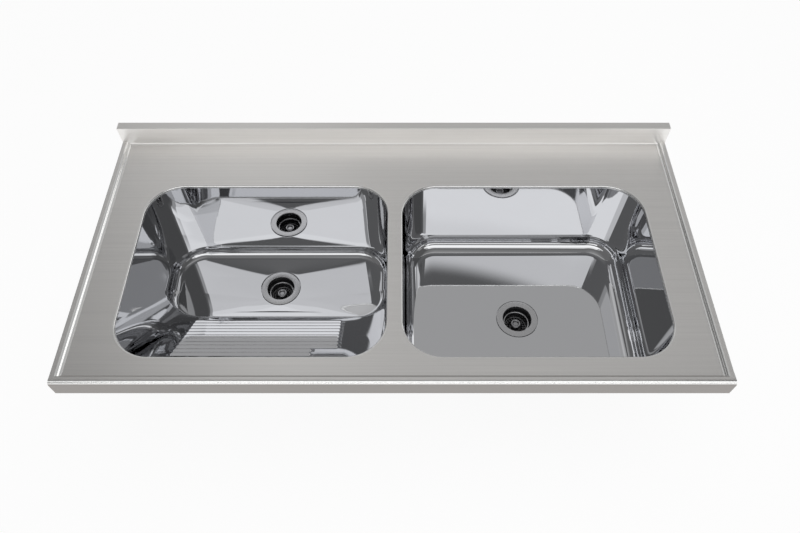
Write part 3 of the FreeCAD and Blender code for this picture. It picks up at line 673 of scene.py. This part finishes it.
def foot_rounding(bowl, spot):
    """Radius between wall and floor; the washboard's fold eases into it round the corners."""
    corner, turn, _ = spot
    fold = {0: 1 - turn, FRONT_SIDE: turn}.get(corner, 0)
    eased = fold**2 * (3 - 2 * fold)
    return bowl.floor_radius + (bowl.fold_radius - bowl.floor_radius) * eased


def wall_end(radius, lean, height):
    """Share of a wall's way down at which the rounding at its foot starts."""
    return 1 - radius * (1 - math.sin(lean)) / height


def foot_reach(wall):
    """How far the rounding at a wall's foot reaches over the floor."""
    return wall.radius * math.tan((math.pi / 2 - wall.lean) / 2)


def build_bowl(mouth, bowl, drain, lip_depth, deck, ribbed):
    """Pressed bowl from its weld line down the walls, over the floor and into the drain seat."""
    bm = bmesh.new()
    spots = bowl_spots(ribbed)
    height = bowl.depth - lip_depth
    top = deck - lip_depth
    floor = deck - bowl.depth
    x0, x1, y0, y1, corner = mouth_edges(mouth, bowl, 0)
    foot_edges = (
        x0 + bowl.side_run, x1 - bowl.side_run, y0 + bowl.front_run, y1 - bowl.back_run,
        bowl.floor_corner,
    )

    walls = []
    for spot in spots:
        rim, outward = outline_place(spot, x0, x1, y0, y1, corner)
        foot, _ = outline_place(spot, *foot_edges)
        lean = math.atan2((rim - foot).dot(outward), height)
        radius = foot_rounding(bowl, spot)
        walls.append(Wall(rim, foot, outward, lean, radius, wall_end(radius, lean, height)))
    board_lean = math.atan2(bowl.front_run, height)
    slope = math.hypot(height, bowl.front_run) * wall_end(bowl.fold_radius, board_lean, height)

    def on_wall(spot, wall, part):
        way = part * wall.end
        point = wall.rim.lerp(wall.foot, way) + (top - height * way) * UP
        if ribbed and spot[:2] == (FRONT_SIDE, 1):
            lift = rib_lift(bowl, point.x - bowl.x, part * slope)
            point += lift * Vector((0, math.cos(board_lean), math.sin(board_lean)))
        return point

    def round_foot(_, wall, part):
        turn = wall.lean + (math.pi / 2 - wall.lean) * part
        inset = foot_reach(wall) - wall.radius * math.cos(turn)
        rise = wall.radius * (1 - math.sin(turn))
        return wall.foot - wall.outward * inset + (floor + rise) * UP

    def in_seat(spot, _, ring):
        side, turn, along = spot
        reach, drop = ring
        start = 90 * side - 45 - SEAT_CORNER / 2
        angle = math.radians(start + SEAT_CORNER * turn + (90 - SEAT_CORNER) * along)
        x, y = bowl.x + reach * math.cos(angle), bowl.drain_y + reach * math.sin(angle)
        return Vector((x, y, floor - bowl.fall - drop))

    def on_floor(spot, wall, part):
        start = wall.foot - wall.outward * foot_reach(wall) + floor * UP
        return start.lerp(in_seat(spot, wall, (drain.seat_radius + drain.seat_land, 0)), part)

    loop, number = outline_loop(
        bm, spots, lambda spot: outline_place(spot, x0, x1, y0, y1, corner)[0] + top * UP
    )
    edge = drain.seat_edge
    mid_edge = 0.3 * edge
    seat = (
        (drain.seat_radius + edge, 0), (drain.seat_radius + mid_edge, mid_edge),
        (drain.seat_radius, edge), (drain.seat_radius, drain.seat_depth),
        (drain.floor_hole, drain.seat_depth),
    )
    steps = [(on_wall, part) for part in wall_shares(bowl, slope, ribbed)]
    steps += [(round_foot, i / FOOT_STEPS) for i in range(1, FOOT_STEPS + 1)]
    steps += [(on_floor, part) for part in FLOOR_SHARES] + [(in_seat, ring) for ring in seat]
    for step, part in steps:
        loop = pull(bm, loop, lambda vert: step(spots[vert[number]], walls[vert[number]], part))
    weld(bm)
    turn_sheet(bm, -UP, UP)
    soften(bm, SHEET_ANGLE)
    return bm


# Drains

def trim_profile(drain):
    """Closed section of the steel ring."""
    top = drain.trim_sheet
    edge = drain.trim_edge
    inner = arc((drain.trim_bore + edge, top - edge), edge, 180, 90, FINE_STEPS)
    outer = arc((drain.trim_radius - edge, top - edge), edge, 90, 0, FINE_STEPS)
    low = -drain.trim_drop
    start = (drain.trim_bore, -drain.trim_skirt)
    return [start] + inner + outer + [
        (drain.trim_radius, low), (drain.trim_radius - top, low), (drain.trim_radius - top, 0),
        (drain.trim_bore + top, 0), (drain.trim_bore + top, -drain.trim_skirt), start,
    ]


def cup_profile(drain):
    """Closed section of the moulded cup from its flange to the outlet."""
    thread = drain.cup_bore + drain.cup_wall
    lower = drain.lower_bore + drain.cup_wall
    flange = drain.trim_radius - drain.trim_sheet - drain.flange_gap
    flange_low = -drain.trim_drop
    thread_low = flange_low - drain.thread_length
    bottom = -drain.cup_depth - drain.cup_wall
    end = bottom - drain.outlet_length
    start = (drain.cup_bore, 0)
    return [
        start, (flange, 0), (flange, flange_low), (thread, flange_low), (thread, thread_low),
        (lower, thread_low - thread + lower), (lower, bottom), (drain.outlet_radius, bottom),
        (drain.outlet_radius, end), (drain.outlet_bore, end),
        (drain.outlet_bore, -drain.cup_depth), (drain.lower_bore, -drain.cup_depth),
        (drain.lower_bore, -drain.ledge_depth), (drain.cup_bore, -drain.ledge_depth), start,
    ]


def basket_rim_top(drain):
    """Top of the basket's rim above the bowl floor."""
    return -drain.ledge_depth + drain.basket_gap + drain.basket_sheet


def knob_profile(drain):
    """Open section of the knob and its stud, from the axis below to the axis above."""
    floor_top = basket_rim_top(drain) - drain.basket_depth
    foot = floor_top + drain.knob_foot_height
    top = foot + drain.knob_height
    crown = (drain.knob_radius - drain.knob_hollow) / 2
    crest = top - crown
    return [
        (0, -drain.stud_end), (drain.stud_radius, -drain.stud_end), (drain.stud_radius, floor_top),
        (drain.knob_foot_radius, floor_top), (drain.knob_foot_radius, foot),
        (drain.knob_radius, top - 2 * crown),
    ] + arc((drain.knob_hollow + crown, crest), crown, 0, 180, CROWN_STEPS) + [(0, crest)]


def build_lathe(profile, centre):
    """Turned piece from its section."""
    bm = bmesh.new()
    lathe(bm, profile, centre)
    weld(bm)
    soften(bm, TURNED_ANGLE)
    return bm


def build_basket(drain, centre):
    """Pressed strainer: rim and wall turned, floor filled round its rings of holes."""
    bm = bmesh.new()
    x, y, z = centre
    rim_top = basket_rim_top(drain)
    wall = drain.basket_wall - drain.basket_sheet
    floor = rim_top - drain.basket_depth
    bend = drain.basket_bend
    profile = [(drain.basket_rim, rim_top)]
    profile += arc((wall + bend, rim_top - bend), bend, 90, 180, FINE_STEPS)
    profile += arc((wall - bend, floor + bend), bend, 0, -90, FINE_STEPS)
    lathe(bm, profile, centre)
    spots = []
    for ring, holes in (
        (drain.outer_ring, drain.outer_holes), (drain.inner_ring, drain.inner_holes)
    ):
        spots += [(ring, 2 * math.pi * i / holes, drain.hole_radius) for i in range(holes)]
    hole_edges = []
    for reach, angle, radius in spots + [(0, 0, drain.stud_radius)]:
        verts = bmesh.ops.create_circle(bm, segments=HOLE_STEPS, radius=radius)["verts"]
        bmesh.ops.translate(bm, verts=verts, vec=(
            x + reach * math.cos(angle), y + reach * math.sin(angle), z + floor,
        ))
        hole_edges += list({edge for vert in verts for edge in vert.link_edges})
    bmesh.ops.remove_doubles(bm, verts=bm.verts[:], dist=MERGE)
    floor_edges = [
        edge for edge in bm.edges
        if edge.is_boundary and all(abs(vert.co.z - z - floor) < MERGE for vert in edge.verts)
    ]
    bmesh.ops.triangle_fill(bm, use_beauty=True, edges=floor_edges + hole_edges, normal=UP)
    weld(bm)
    turn_sheet(bm, UP, UP)
    # The wall and floor below the rim take the darkened basket finish, painted shade inside the
    # cup.
    for face in bm.faces:
        if face.calc_center_median().z < z + rim_top - bend:
            face.material_index = 1
    soften(bm, SHEET_ANGLE)
    return bm


# Finishes

# Stretch of the broad brush lines against the fine ones
BROAD_STRETCH = (0.35, 0.24, 0.24)
# Direction of the brushing, and its turn in the shine
BRUSHING = {"X": 1.0, "Y": 0.0, "Z": 0.02}
BRUSH_TURN = 0.25
BUMP_DEPTH = 0.1 * MM


def feed(tree, socket, value):
    """Links an output to a socket, or sets a plain value on it."""
    if isinstance(value, bpy.types.NodeSocket):
        tree.links.new(value, socket)
    else:
        socket.default_value = value


def add_node(tree, kind, settings=None, **inputs):
    """New shader node; inputs are values or output sockets, with underscores for spaces."""
    node = tree.nodes.new(kind)
    for key, value in (settings or {}).items():
        setattr(node, key, value)
    for key, value in inputs.items():
        feed(tree, node.inputs[key.replace("_", " ")], value)
    return node


def add_math(tree, operation, *values):
    """Result of a math node; its inputs in order are values or output sockets."""
    node = add_node(tree, "ShaderNodeMath", {"operation": operation})
    for socket, value in zip(node.inputs, values):
        feed(tree, socket, value)
    return node.outputs["Value"]


def mix_shaders(tree, part, first, second):
    """Mix of two shaders with a part of the second."""
    mix = add_node(tree, "ShaderNodeMixShader", Fac=part)
    tree.links.new(first, mix.inputs[1])
    tree.links.new(second, mix.inputs[2])
    return mix.outputs["Shader"]


def first_node(tree, kind):
    """The node of a kind that a new tree starts with."""
    return next(node for node in tree.nodes if node.type == kind)


def new_group(name, inputs, outputs):
    """Empty node group with named value or vector sockets."""
    group = bpy.data.node_groups.new(name, "ShaderNodeTree")
    for title, kind in inputs:
        group.interface.new_socket(title, in_out="INPUT", socket_type=kind)
    for title in outputs:
        group.interface.new_socket(title, in_out="OUTPUT", socket_type="NodeSocketFloat")
    into, out = (group.nodes.new(kind) for kind in ("NodeGroupInput", "NodeGroupOutput"))
    return group, into.outputs, out.inputs


def effect_group(name, pattern):
    """Mapped coordinates in; tone, roughness and height of a pattern out."""
    values = ("Tone spread", "Roughness", "Roughness spread")
    group, into, out = new_group(
        name, [("Vector", "NodeSocketVector")] + [(title, "NodeSocketFloat") for title in values],
        ("Tone", "Roughness", "Height"),
    )
    level, height = pattern(group, into["Vector"])
    off = add_math(group, "SUBTRACT", level, 0.5)
    tone = add_math(group, "MULTIPLY_ADD", off, into["Tone spread"], 1.0)
    rough = add_math(group, "MULTIPLY_ADD", off, into["Roughness spread"], into["Roughness"])
    for socket, value in zip(out, (tone, rough, height)):
        group.links.new(value, socket)
    return group


def brush_lines(group, vector):
    """Fine and broad lines in equal parts, and the fine ones alone."""
    noise = "ShaderNodeTexNoise"
    fine = add_node(group, noise, Vector=vector, Scale=1.0, Detail=4.0, Roughness=0.65)
    place = add_node(group, "ShaderNodeVectorMath", {"operation": "MULTIPLY"})
    group.links.new(vector, place.inputs[0])
    place.inputs[1].default_value = BROAD_STRETCH
    broad = add_node(group, noise, Vector=place.outputs["Vector"], Scale=1.0, Detail=2.0)
    half = add_math(group, "MULTIPLY", broad.outputs["Fac"], 0.5)
    return add_math(group, "MULTIPLY_ADD", fine.outputs["Fac"], 0.5, half), fine.outputs["Fac"]


def uneven_surface(group, vector):
    """Specks that are the same in every direction."""
    specks = add_node(
        group, "ShaderNodeTexNoise", Vector=vector, Scale=1.0, Detail=5.0, Roughness=0.6
    )
    return specks.outputs["Fac"], specks.outputs["Fac"]


def new_material(name):
    """Material and its node tree."""
    material = bpy.data.materials.new(name)
    material.use_nodes = True
    return material, material.node_tree


def make_finish(
    name, group, colour, metallic, stretch, spread, roughness, roughness_spread, bump, grain=0.0
):
    """Material from an effect group: colour times tone, varying roughness, and a fine bump."""
    _, tree = new_material(name)
    shader = first_node(tree, "BSDF_PRINCIPLED").inputs
    place = add_node(tree, "ShaderNodeTexCoord")
    mapping = add_node(tree, "ShaderNodeMapping", Vector=place.outputs["Object"], Scale=stretch)
    effect = add_node(
        tree, "ShaderNodeGroup", {"node_tree": group}, Vector=mapping.outputs["Vector"],
        Tone_spread=spread, Roughness=roughness, Roughness_spread=roughness_spread,
    ).outputs
    tone = add_node(tree, "ShaderNodeVectorMath", {"operation": "SCALE"}, Scale=effect["Tone"])
    tone.inputs[0].default_value = colour
    tree.links.new(tone.outputs["Vector"], shader["Base Color"])
    tree.links.new(effect["Roughness"], shader["Roughness"])
    shader["Metallic"].default_value = metallic
    if bump:
        relief = add_node(
            tree, "ShaderNodeBump", Height=effect["Height"], Strength=bump, Distance=BUMP_DEPTH
        )
        tree.links.new(relief.outputs["Normal"], shader["Normal"])
    if grain:
        shader["Anisotropic"].default_value = grain
        shader["Anisotropic Rotation"].default_value = BRUSH_TURN
        along = add_node(tree, "ShaderNodeCombineXYZ", **BRUSHING)
        tree.links.new(along.outputs["Vector"], shader["Tangent"])


def finishes(scene):
    """All materials of the sink by name, made once."""
    made = bpy.data.materials
    if "brushed sheet" in made:
        return made
    look = scene.sink_finishes
    lines = effect_group("Brush lines", brush_lines)
    specks = effect_group("Uneven surface", uneven_surface)
    brushed, polished, satin = look.brushed_roughness, look.polished_roughness, look.satin_roughness
    # Name, pattern, colour, metallic, stretch of the pattern, then tone spread, roughness,
    # roughness spread and bump, and for brushed sheet how far it draws the shine out
    for finish in (
        ("brushed sheet", lines, look.brushed, 1, (6, 900, 900), 0.22, brushed, 0.08, 0.12, 0.75),
        # Fold and apron rows: darker copies of the brushed sheet, as painted shade.
        ("folded sheet", lines, look.fold, 1, (900, 900, 6), 0.22, brushed, 0.08, 0.12, 0.75),
        ("front apron", lines, look.apron, 1, (6, 900, 900), 0.22, 0.42, 0.08, 0.12, 0.6),
        # Rim bend row: a smoother polish, and a lighter colour as painted highlight.
        ("rim edge", lines, look.rim, 1, (6, 900, 900), 0.03, 0.2, 0.02, 0),
        ("rolled lip", specks, look.lip, 1, (60, 60, 60), 0.06, 0.14, 0.04, 0),
        ("polished bowl", specks, look.polished, 1, (9, 9, 9), 0.03, polished, 0.02, 0),
        ("bowl outside", specks, look.outside, 1, (90, 90, 90), 0.12, 0.42, 0.1, 0.05),
        ("satin ring", specks, look.satin, 1, (420, 420, 420), 0.14, satin, 0.12, 0.1),
        # Basket row: steel darkened as painted shade.
        ("dull basket", specks, look.basket, 1, (420, 420, 420), 0.2, 0.3, 0.12, 0.1),
        ("polished knob", specks, look.knob, 1, (120, 120, 120), 0.06, 0.1, 0.05, 0),
        ("black moulding", specks, look.cup, 0, (500, 500, 500), 0.3, 0.32, 0.1, 0.15),
        ("white moulding", specks, look.moulding, 0, (300, 300, 300), 0.06, 0.42, 0.1, 0.1),
        ("seal rubber", specks, look.rubber, 0, (350, 350, 350), 0.3, 0.62, 0.12, 0.2),
        ("damping pad", specks, look.pad, 0, (160, 160, 160), 0.4, 0.8, 0.1, 0.5),
        ("galvanised rail", specks, look.rail, 1, (70, 70, 70), 0.35, 0.42, 0.25, 0.1),
    ):
        make_finish(*finish)
    return made


# Operators

class SINK_OT_worktop(bpy.types.Operator):
    """Build the folded worktop sheet with its rims, upstand and rolled bowl mouths"""

    bl_idname = "sink.worktop"
    bl_label = "Worktop"

    def execute(self, context):
        scene = context.scene
        look = finishes(scene)
        top = scene.sink_worktop
        piece = make_piece(
            build_worktop_sheet(top, scene.sink_mouth, (scene.sink_laundry, scene.sink_rinse)),
            "worktop_sheet", SINK_BODY, [look[finish] for finish in WORKTOP_FINISHES],
            ["worktop"],
        )
        give_thickness(piece, top.sheet)
        keep_flats(piece)
        return {"FINISHED"}


class SINK_OT_bowls(bpy.types.Operator):
    """Build the washboard bowl and the rinse bowl"""

    bl_idname = "sink.bowls"
    bl_label = "Bowls"

    def execute(self, context):
        scene = context.scene
        look = finishes(scene)
        top = scene.sink_worktop
        mouth = scene.sink_mouth
        sides = [look["polished bowl"], look["bowl outside"]]
        bowls = (("laundry", scene.sink_laundry, True), ("rinse", scene.sink_rinse, False))
        for name, bowl, ribbed in bowls:
            bm = build_bowl(mouth, bowl, scene.sink_drain, top.lip_depth, deck_height(top), ribbed)
            piece = make_piece(
                bm, name + "_bowl_shell", SINK_BODY, sides, [name + "_bowl"]
            )
            give_thickness(piece, mouth.sheet, other_side=1)
        return {"FINISHED"}


class SINK_OT_drains(bpy.types.Operator):
    """Build the trim rings, cups, strainer baskets and knobs of both drains"""

    bl_idname = "sink.drains"
    bl_label = "Drains"

    def execute(self, context):
        scene = context.scene
        look = finishes(scene)
        drain = scene.sink_drain
        deck = deck_height(scene.sink_worktop)
        for name, bowl in (("laundry", scene.sink_laundry), ("rinse", scene.sink_rinse)):
            centre = Vector((bowl.x, bowl.drain_y, deck - bowl.depth - bowl.fall))
            strainer = name + "_strainer"
            for profile, piece, finish, node, slot in (
                (trim_profile, "_trim_ring", "satin ring", "_drain_trim", "satin_steel"),
                (cup_profile, "_drain_cup", "black moulding", "_valve_body", "black_plastic"),
            ):
                bm = build_lathe(profile(drain), centre)
                make_piece(bm, name + piece, SINK_BODY, [look[finish]], [name + node])
            basket = make_piece(
                build_basket(drain, centre), name + "_strainer_basket", strainer,
                [look["satin ring"], look["dull basket"]], [name + "_basket"],
            )
            give_thickness(basket, drain.basket_sheet)
            make_piece(
                build_lathe(knob_profile(drain), centre), name + "_lift_knob", strainer,
                [look["polished knob"]], [name + "_basket_knob"],
            )
        return {"FINISHED"}


# Endings of the nodes that keep their CAD shape, and their finish
UNDER_FINISHES = (
    ("_rail", "galvanised rail"), ("_sound_pad", "damping pad"), ("_flange_seal", "seal rubber"),
    ("_body_gasket", "seal rubber"), ("_slip_washer", "white moulding"),
    ("_lock_nut", "white moulding"), ("_stopper_sleeve", "white moulding"),
    ("_stopper", "seal rubber"), ("_stopper_nut", "galvanised rail"),
)


class SINK_OT_under_parts(bpy.types.Operator):
    """Finish the rails, pads, seals and nuts that keep their CAD shape"""

    bl_idname = "sink.under_parts"
    bl_label = "Parts underneath"

    def execute(self, context):
        look = finishes(context.scene)
        for node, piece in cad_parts.items():
            for ending, finish in UNDER_FINISHES:
                if node.endswith(ending):
                    piece.data.materials.clear()
                    piece.data.materials.append(look[finish])
        return {"FINISHED"}


class SINK_OT_stage(bpy.types.Operator):
    """Set the floor, light and camera"""

    bl_idname = "sink.stage"
    bl_label = "Stage"

    def execute(self, context):
        scene = context.scene
        make_floor(scene)
        make_world(scene)
        make_key_lamp(scene)
        make_camera(scene)
        scene.view_settings.view_transform = "Standard"
        return {"FINISHED"}


# Stage

# Middle of the floor to its edge
FLOOR_REACH = 40
LAMP_SIZE = 3.5
LAMP_PLACE = (0.3, -0.4, 3.2)
# Lens and sensor in millimetres, and tilt in degrees from straight down
CAMERA_LENS = 30.83
CAMERA_SENSOR = 36
CAMERA_PLACE = (0.0135, -0.804, 1.134)
CAMERA_TILT = 34.44
# Colour sockets of a mix node
MIX_UNDER, MIX_OVER, MIX_RESULT = 6, 7, 2


def make_floor(scene):
    """Pale floor under the sink: mostly plain white, some shadow, clear from below."""
    material, tree = new_material("studio floor")
    shader = first_node(tree, "BSDF_PRINCIPLED")
    shader.inputs["Base Color"].default_value = (*scene.sink_finishes.floor, 1)
    shader.inputs["Roughness"].default_value = 0.9
    shader.inputs["Specular IOR Level"].default_value = 0.1
    white = add_node(tree, "ShaderNodeEmission", Strength=1.0).outputs["Emission"]
    rays = add_node(tree, "ShaderNodeLightPath").outputs
    seen = add_math(tree, "MAXIMUM", rays["Is Camera Ray"], rays["Is Glossy Ray"])
    seen = add_math(tree, "MAXIMUM", seen, rays["Is Transmission Ray"])
    part = add_math(tree, "MULTIPLY", seen, scene.sink_stage.floor_white)
    shown = mix_shaders(tree, part, shader.outputs["BSDF"], white)
    below = add_node(tree, "ShaderNodeNewGeometry").outputs["Backfacing"]
    clear = add_node(tree, "ShaderNodeBsdfTransparent").outputs["BSDF"]
    ending = first_node(tree, "OUTPUT_MATERIAL")
    tree.links.new(mix_shaders(tree, below, shown, clear), ending.inputs["Surface"])

    bm = bmesh.new()
    bmesh.ops.create_grid(bm, x_segments=2, y_segments=2, size=FLOOR_REACH)
    bmesh.ops.translate(bm, verts=bm.verts[:], vec=(0, 0, cad_box[0].z))
    floor = mesh_object(bm, "studio_floor", [material])


def panel_group():
    """Soft-edged panel of light: bearing and height in degrees in, share of the panel out."""
    values = ("Bearing", "Height", "Middle", "Half width", "Level", "Half height", "Softness")
    group, into, out = new_group(
        "Light panel", [(title, "NodeSocketFloat") for title in values], ("Share",)
    )
    shares = []
    for angle, middle, half in (
        ("Bearing", "Middle", "Half width"), ("Height", "Level", "Half height")
    ):
        off = add_math(group, "SUBTRACT", into[angle], into[middle])
        away = add_math(group, "ABSOLUTE", add_math(group, "WRAP", off, 180, -180))
        inner = add_math(group, "SUBTRACT", into[half], into["Softness"])
        fade = add_node(
            group, "ShaderNodeMapRange", {"interpolation_type": "SMOOTHSTEP"},
            Value=away, From_Min=into[half], From_Max=inner,
        )
        shares.append(fade.outputs["Result"])
    group.links.new(add_math(group, "MULTIPLY", *shares), out["Share"])
    return group


# Bearing from the front, positive to the right, then half width, height, half height, softness
# and brightness
LIGHT_PANELS = (
    (172, 66, 52, 40, 8, 0.45),
    (84, 34, 45, 24, 6, 0.12),
    (36, 62, 18, 4, 1.5, 1.4),
    (1, 29, 22.5, 8.5, 1.5, 1.5),
    (3, 36, 58.5, 3, 1.5, 1.05),
    (-1, 40, 54.5, 4, 1.5, 1.1),
    (-3.5, 45.5, 48.5, 4.5, 1.5, 1.32),
    (0, 49, 42.5, 4.5, 1.5, 1.45),
    (-50, 9, 42.5, 3.5, 1.5, 1.0),
    (42.5, 6, 51.5, 7, 2, 0.55),
    (-42, 6, 52, 7, 2, 0.48),
    (-161, 14, 48, 20, 5, 0.62),
    (-138, 8, 50, 5, 1.5, 0.13),
    (31, 8, 34, 8, 3, 0.9),
    (62, 10, 30, 8, 4, 0.35),
    (114, 24, 14.5, 11.5, 3, 1.3),
    (-114, 24, 20, 18, 4, 0.15),
)
# Height above the horizon in degrees and brightness of the room round the panels
ROOM_LEVELS = (
    (-90, 0.9), (3, 0.9), (9, 0.5), (18, 0.2), (40, 0.18), (64, 0.18), (75, 0.24), (90, 0.34)
)


def make_world(scene):
    """Grey room that is pale at the horizon, with soft panels of light round the sink."""
    world = bpy.data.worlds.new("studio")
    scene.world = world
    world.use_nodes = True
    tree = world.node_tree
    place = add_node(tree, "ShaderNodeTexCoord")
    axes = add_node(tree, "ShaderNodeSeparateXYZ", Vector=place.outputs["Generated"]).outputs
    ahead = add_math(tree, "MULTIPLY", axes["Y"], -1)
    bearing = add_math(tree, "DEGREES", add_math(tree, "ARCTAN2", axes["X"], ahead))
    height = add_math(tree, "DEGREES", add_math(tree, "ARCSINE", axes["Z"]))

    level = add_node(tree, "ShaderNodeMapRange", Value=height, From_Min=-90, From_Max=90)
    ramp = add_node(tree, "ShaderNodeValToRGB", Fac=level.outputs["Result"])
    stops = ramp.color_ramp.elements
    while len(stops) < len(ROOM_LEVELS):
        stops.new(0.5)
    for stop, (degrees, grey) in zip(stops, ROOM_LEVELS):
        stop.position = (degrees + 90) / 180
        stop.color = (grey, grey, grey, 1)
    colour = ramp.outputs["Color"]
    panel = panel_group()
    for middle, half_width, panel_height, half_height, softness, brightness in LIGHT_PANELS:
        lit = add_node(
            tree, "ShaderNodeGroup", {"node_tree": panel}, Bearing=bearing, Height=height,
            Middle=middle, Half_width=half_width, Level=panel_height, Half_height=half_height,
            Softness=softness,
        )
        mix = add_node(
            tree, "ShaderNodeMix", {"data_type": "RGBA"}, Factor=lit.outputs["Share"]
        )
        tree.links.new(colour, mix.inputs[MIX_UNDER])
        mix.inputs[MIX_OVER].default_value = (brightness, brightness, brightness, 1)
        colour = mix.outputs[MIX_RESULT]
    tree.links.new(colour, first_node(tree, "BACKGROUND").inputs["Color"])


def make_key_lamp(scene):
    """Large soft lamp overhead that brings plain colours to their written level."""
    lamp = bpy.data.lights.new("overhead lamp", "AREA")
    lamp.shape = "DISK"
    lamp.size = LAMP_SIZE
    lamp.energy = scene.sink_stage.lamp_power
    holder = bpy.data.objects.new("overhead lamp", lamp)
    holder.location = LAMP_PLACE
    holder.visible_glossy = False
    holder.visible_camera = False
    scene.collection.objects.link(holder)


def make_camera(scene):
    """Camera above the front edge that looks down into the bowls."""
    camera = bpy.data.cameras.new("photo camera")
    camera.lens = CAMERA_LENS
    camera.sensor_width = CAMERA_SENSOR
    holder = bpy.data.objects.new("photo camera", camera)
    holder.location = CAMERA_PLACE
    holder.rotation_euler = (math.radians(CAMERA_TILT), 0, 0)
    scene.collection.objects.link(holder)
    scene.camera = holder


# Panel and registration

class SINK_PT_panel(bpy.types.Panel):
    """Builders of the sink in the sidebar"""

    bl_idname = "SINK_PT_panel"
    bl_label = "Laundry Sink"
    bl_space_type = "VIEW_3D"
    bl_region_type = "UI"
    bl_category = "Sink"

    def draw(self, context):
        for operator in OPERATORS:
            self.layout.operator(operator.bl_idname)


OPERATORS = (SINK_OT_worktop, SINK_OT_bowls, SINK_OT_drains, SINK_OT_under_parts, SINK_OT_stage)
SETTINGS = {
    "sink_worktop": WorktopSizes, "sink_mouth": BowlMouthSizes, "sink_laundry": LaundryBowlSizes,
    "sink_rinse": RinseBowlSizes, "sink_drain": DrainSizes, "sink_finishes": SinkFinishes,
    "sink_stage": StageSettings,
}


def register():
    """Adds the settings, operators and panel."""
    for settings in SETTINGS.values():
        bpy.utils.register_class(settings)
    for name, settings in SETTINGS.items():
        setattr(bpy.types.Scene, name, PointerProperty(type=settings))
    for operator in OPERATORS:
        bpy.utils.register_class(operator)
    bpy.utils.register_class(SINK_PT_panel)


def unregister():
    """Takes the settings, operators and panel away again."""
    bpy.utils.unregister_class(SINK_PT_panel)
    for operator in reversed(OPERATORS):
        bpy.utils.unregister_class(operator)
    for name, settings in SETTINGS.items():
        delattr(bpy.types.Scene, name)
        bpy.utils.unregister_class(settings)


def main():
    """Builds the sink on its stage."""
    register()
    bpy.ops.sink.worktop()
    bpy.ops.sink.bowls()
    bpy.ops.sink.drains()
    bpy.ops.sink.under_parts()
    bpy.ops.sink.stage()


if __name__ == "__main__":
    main()
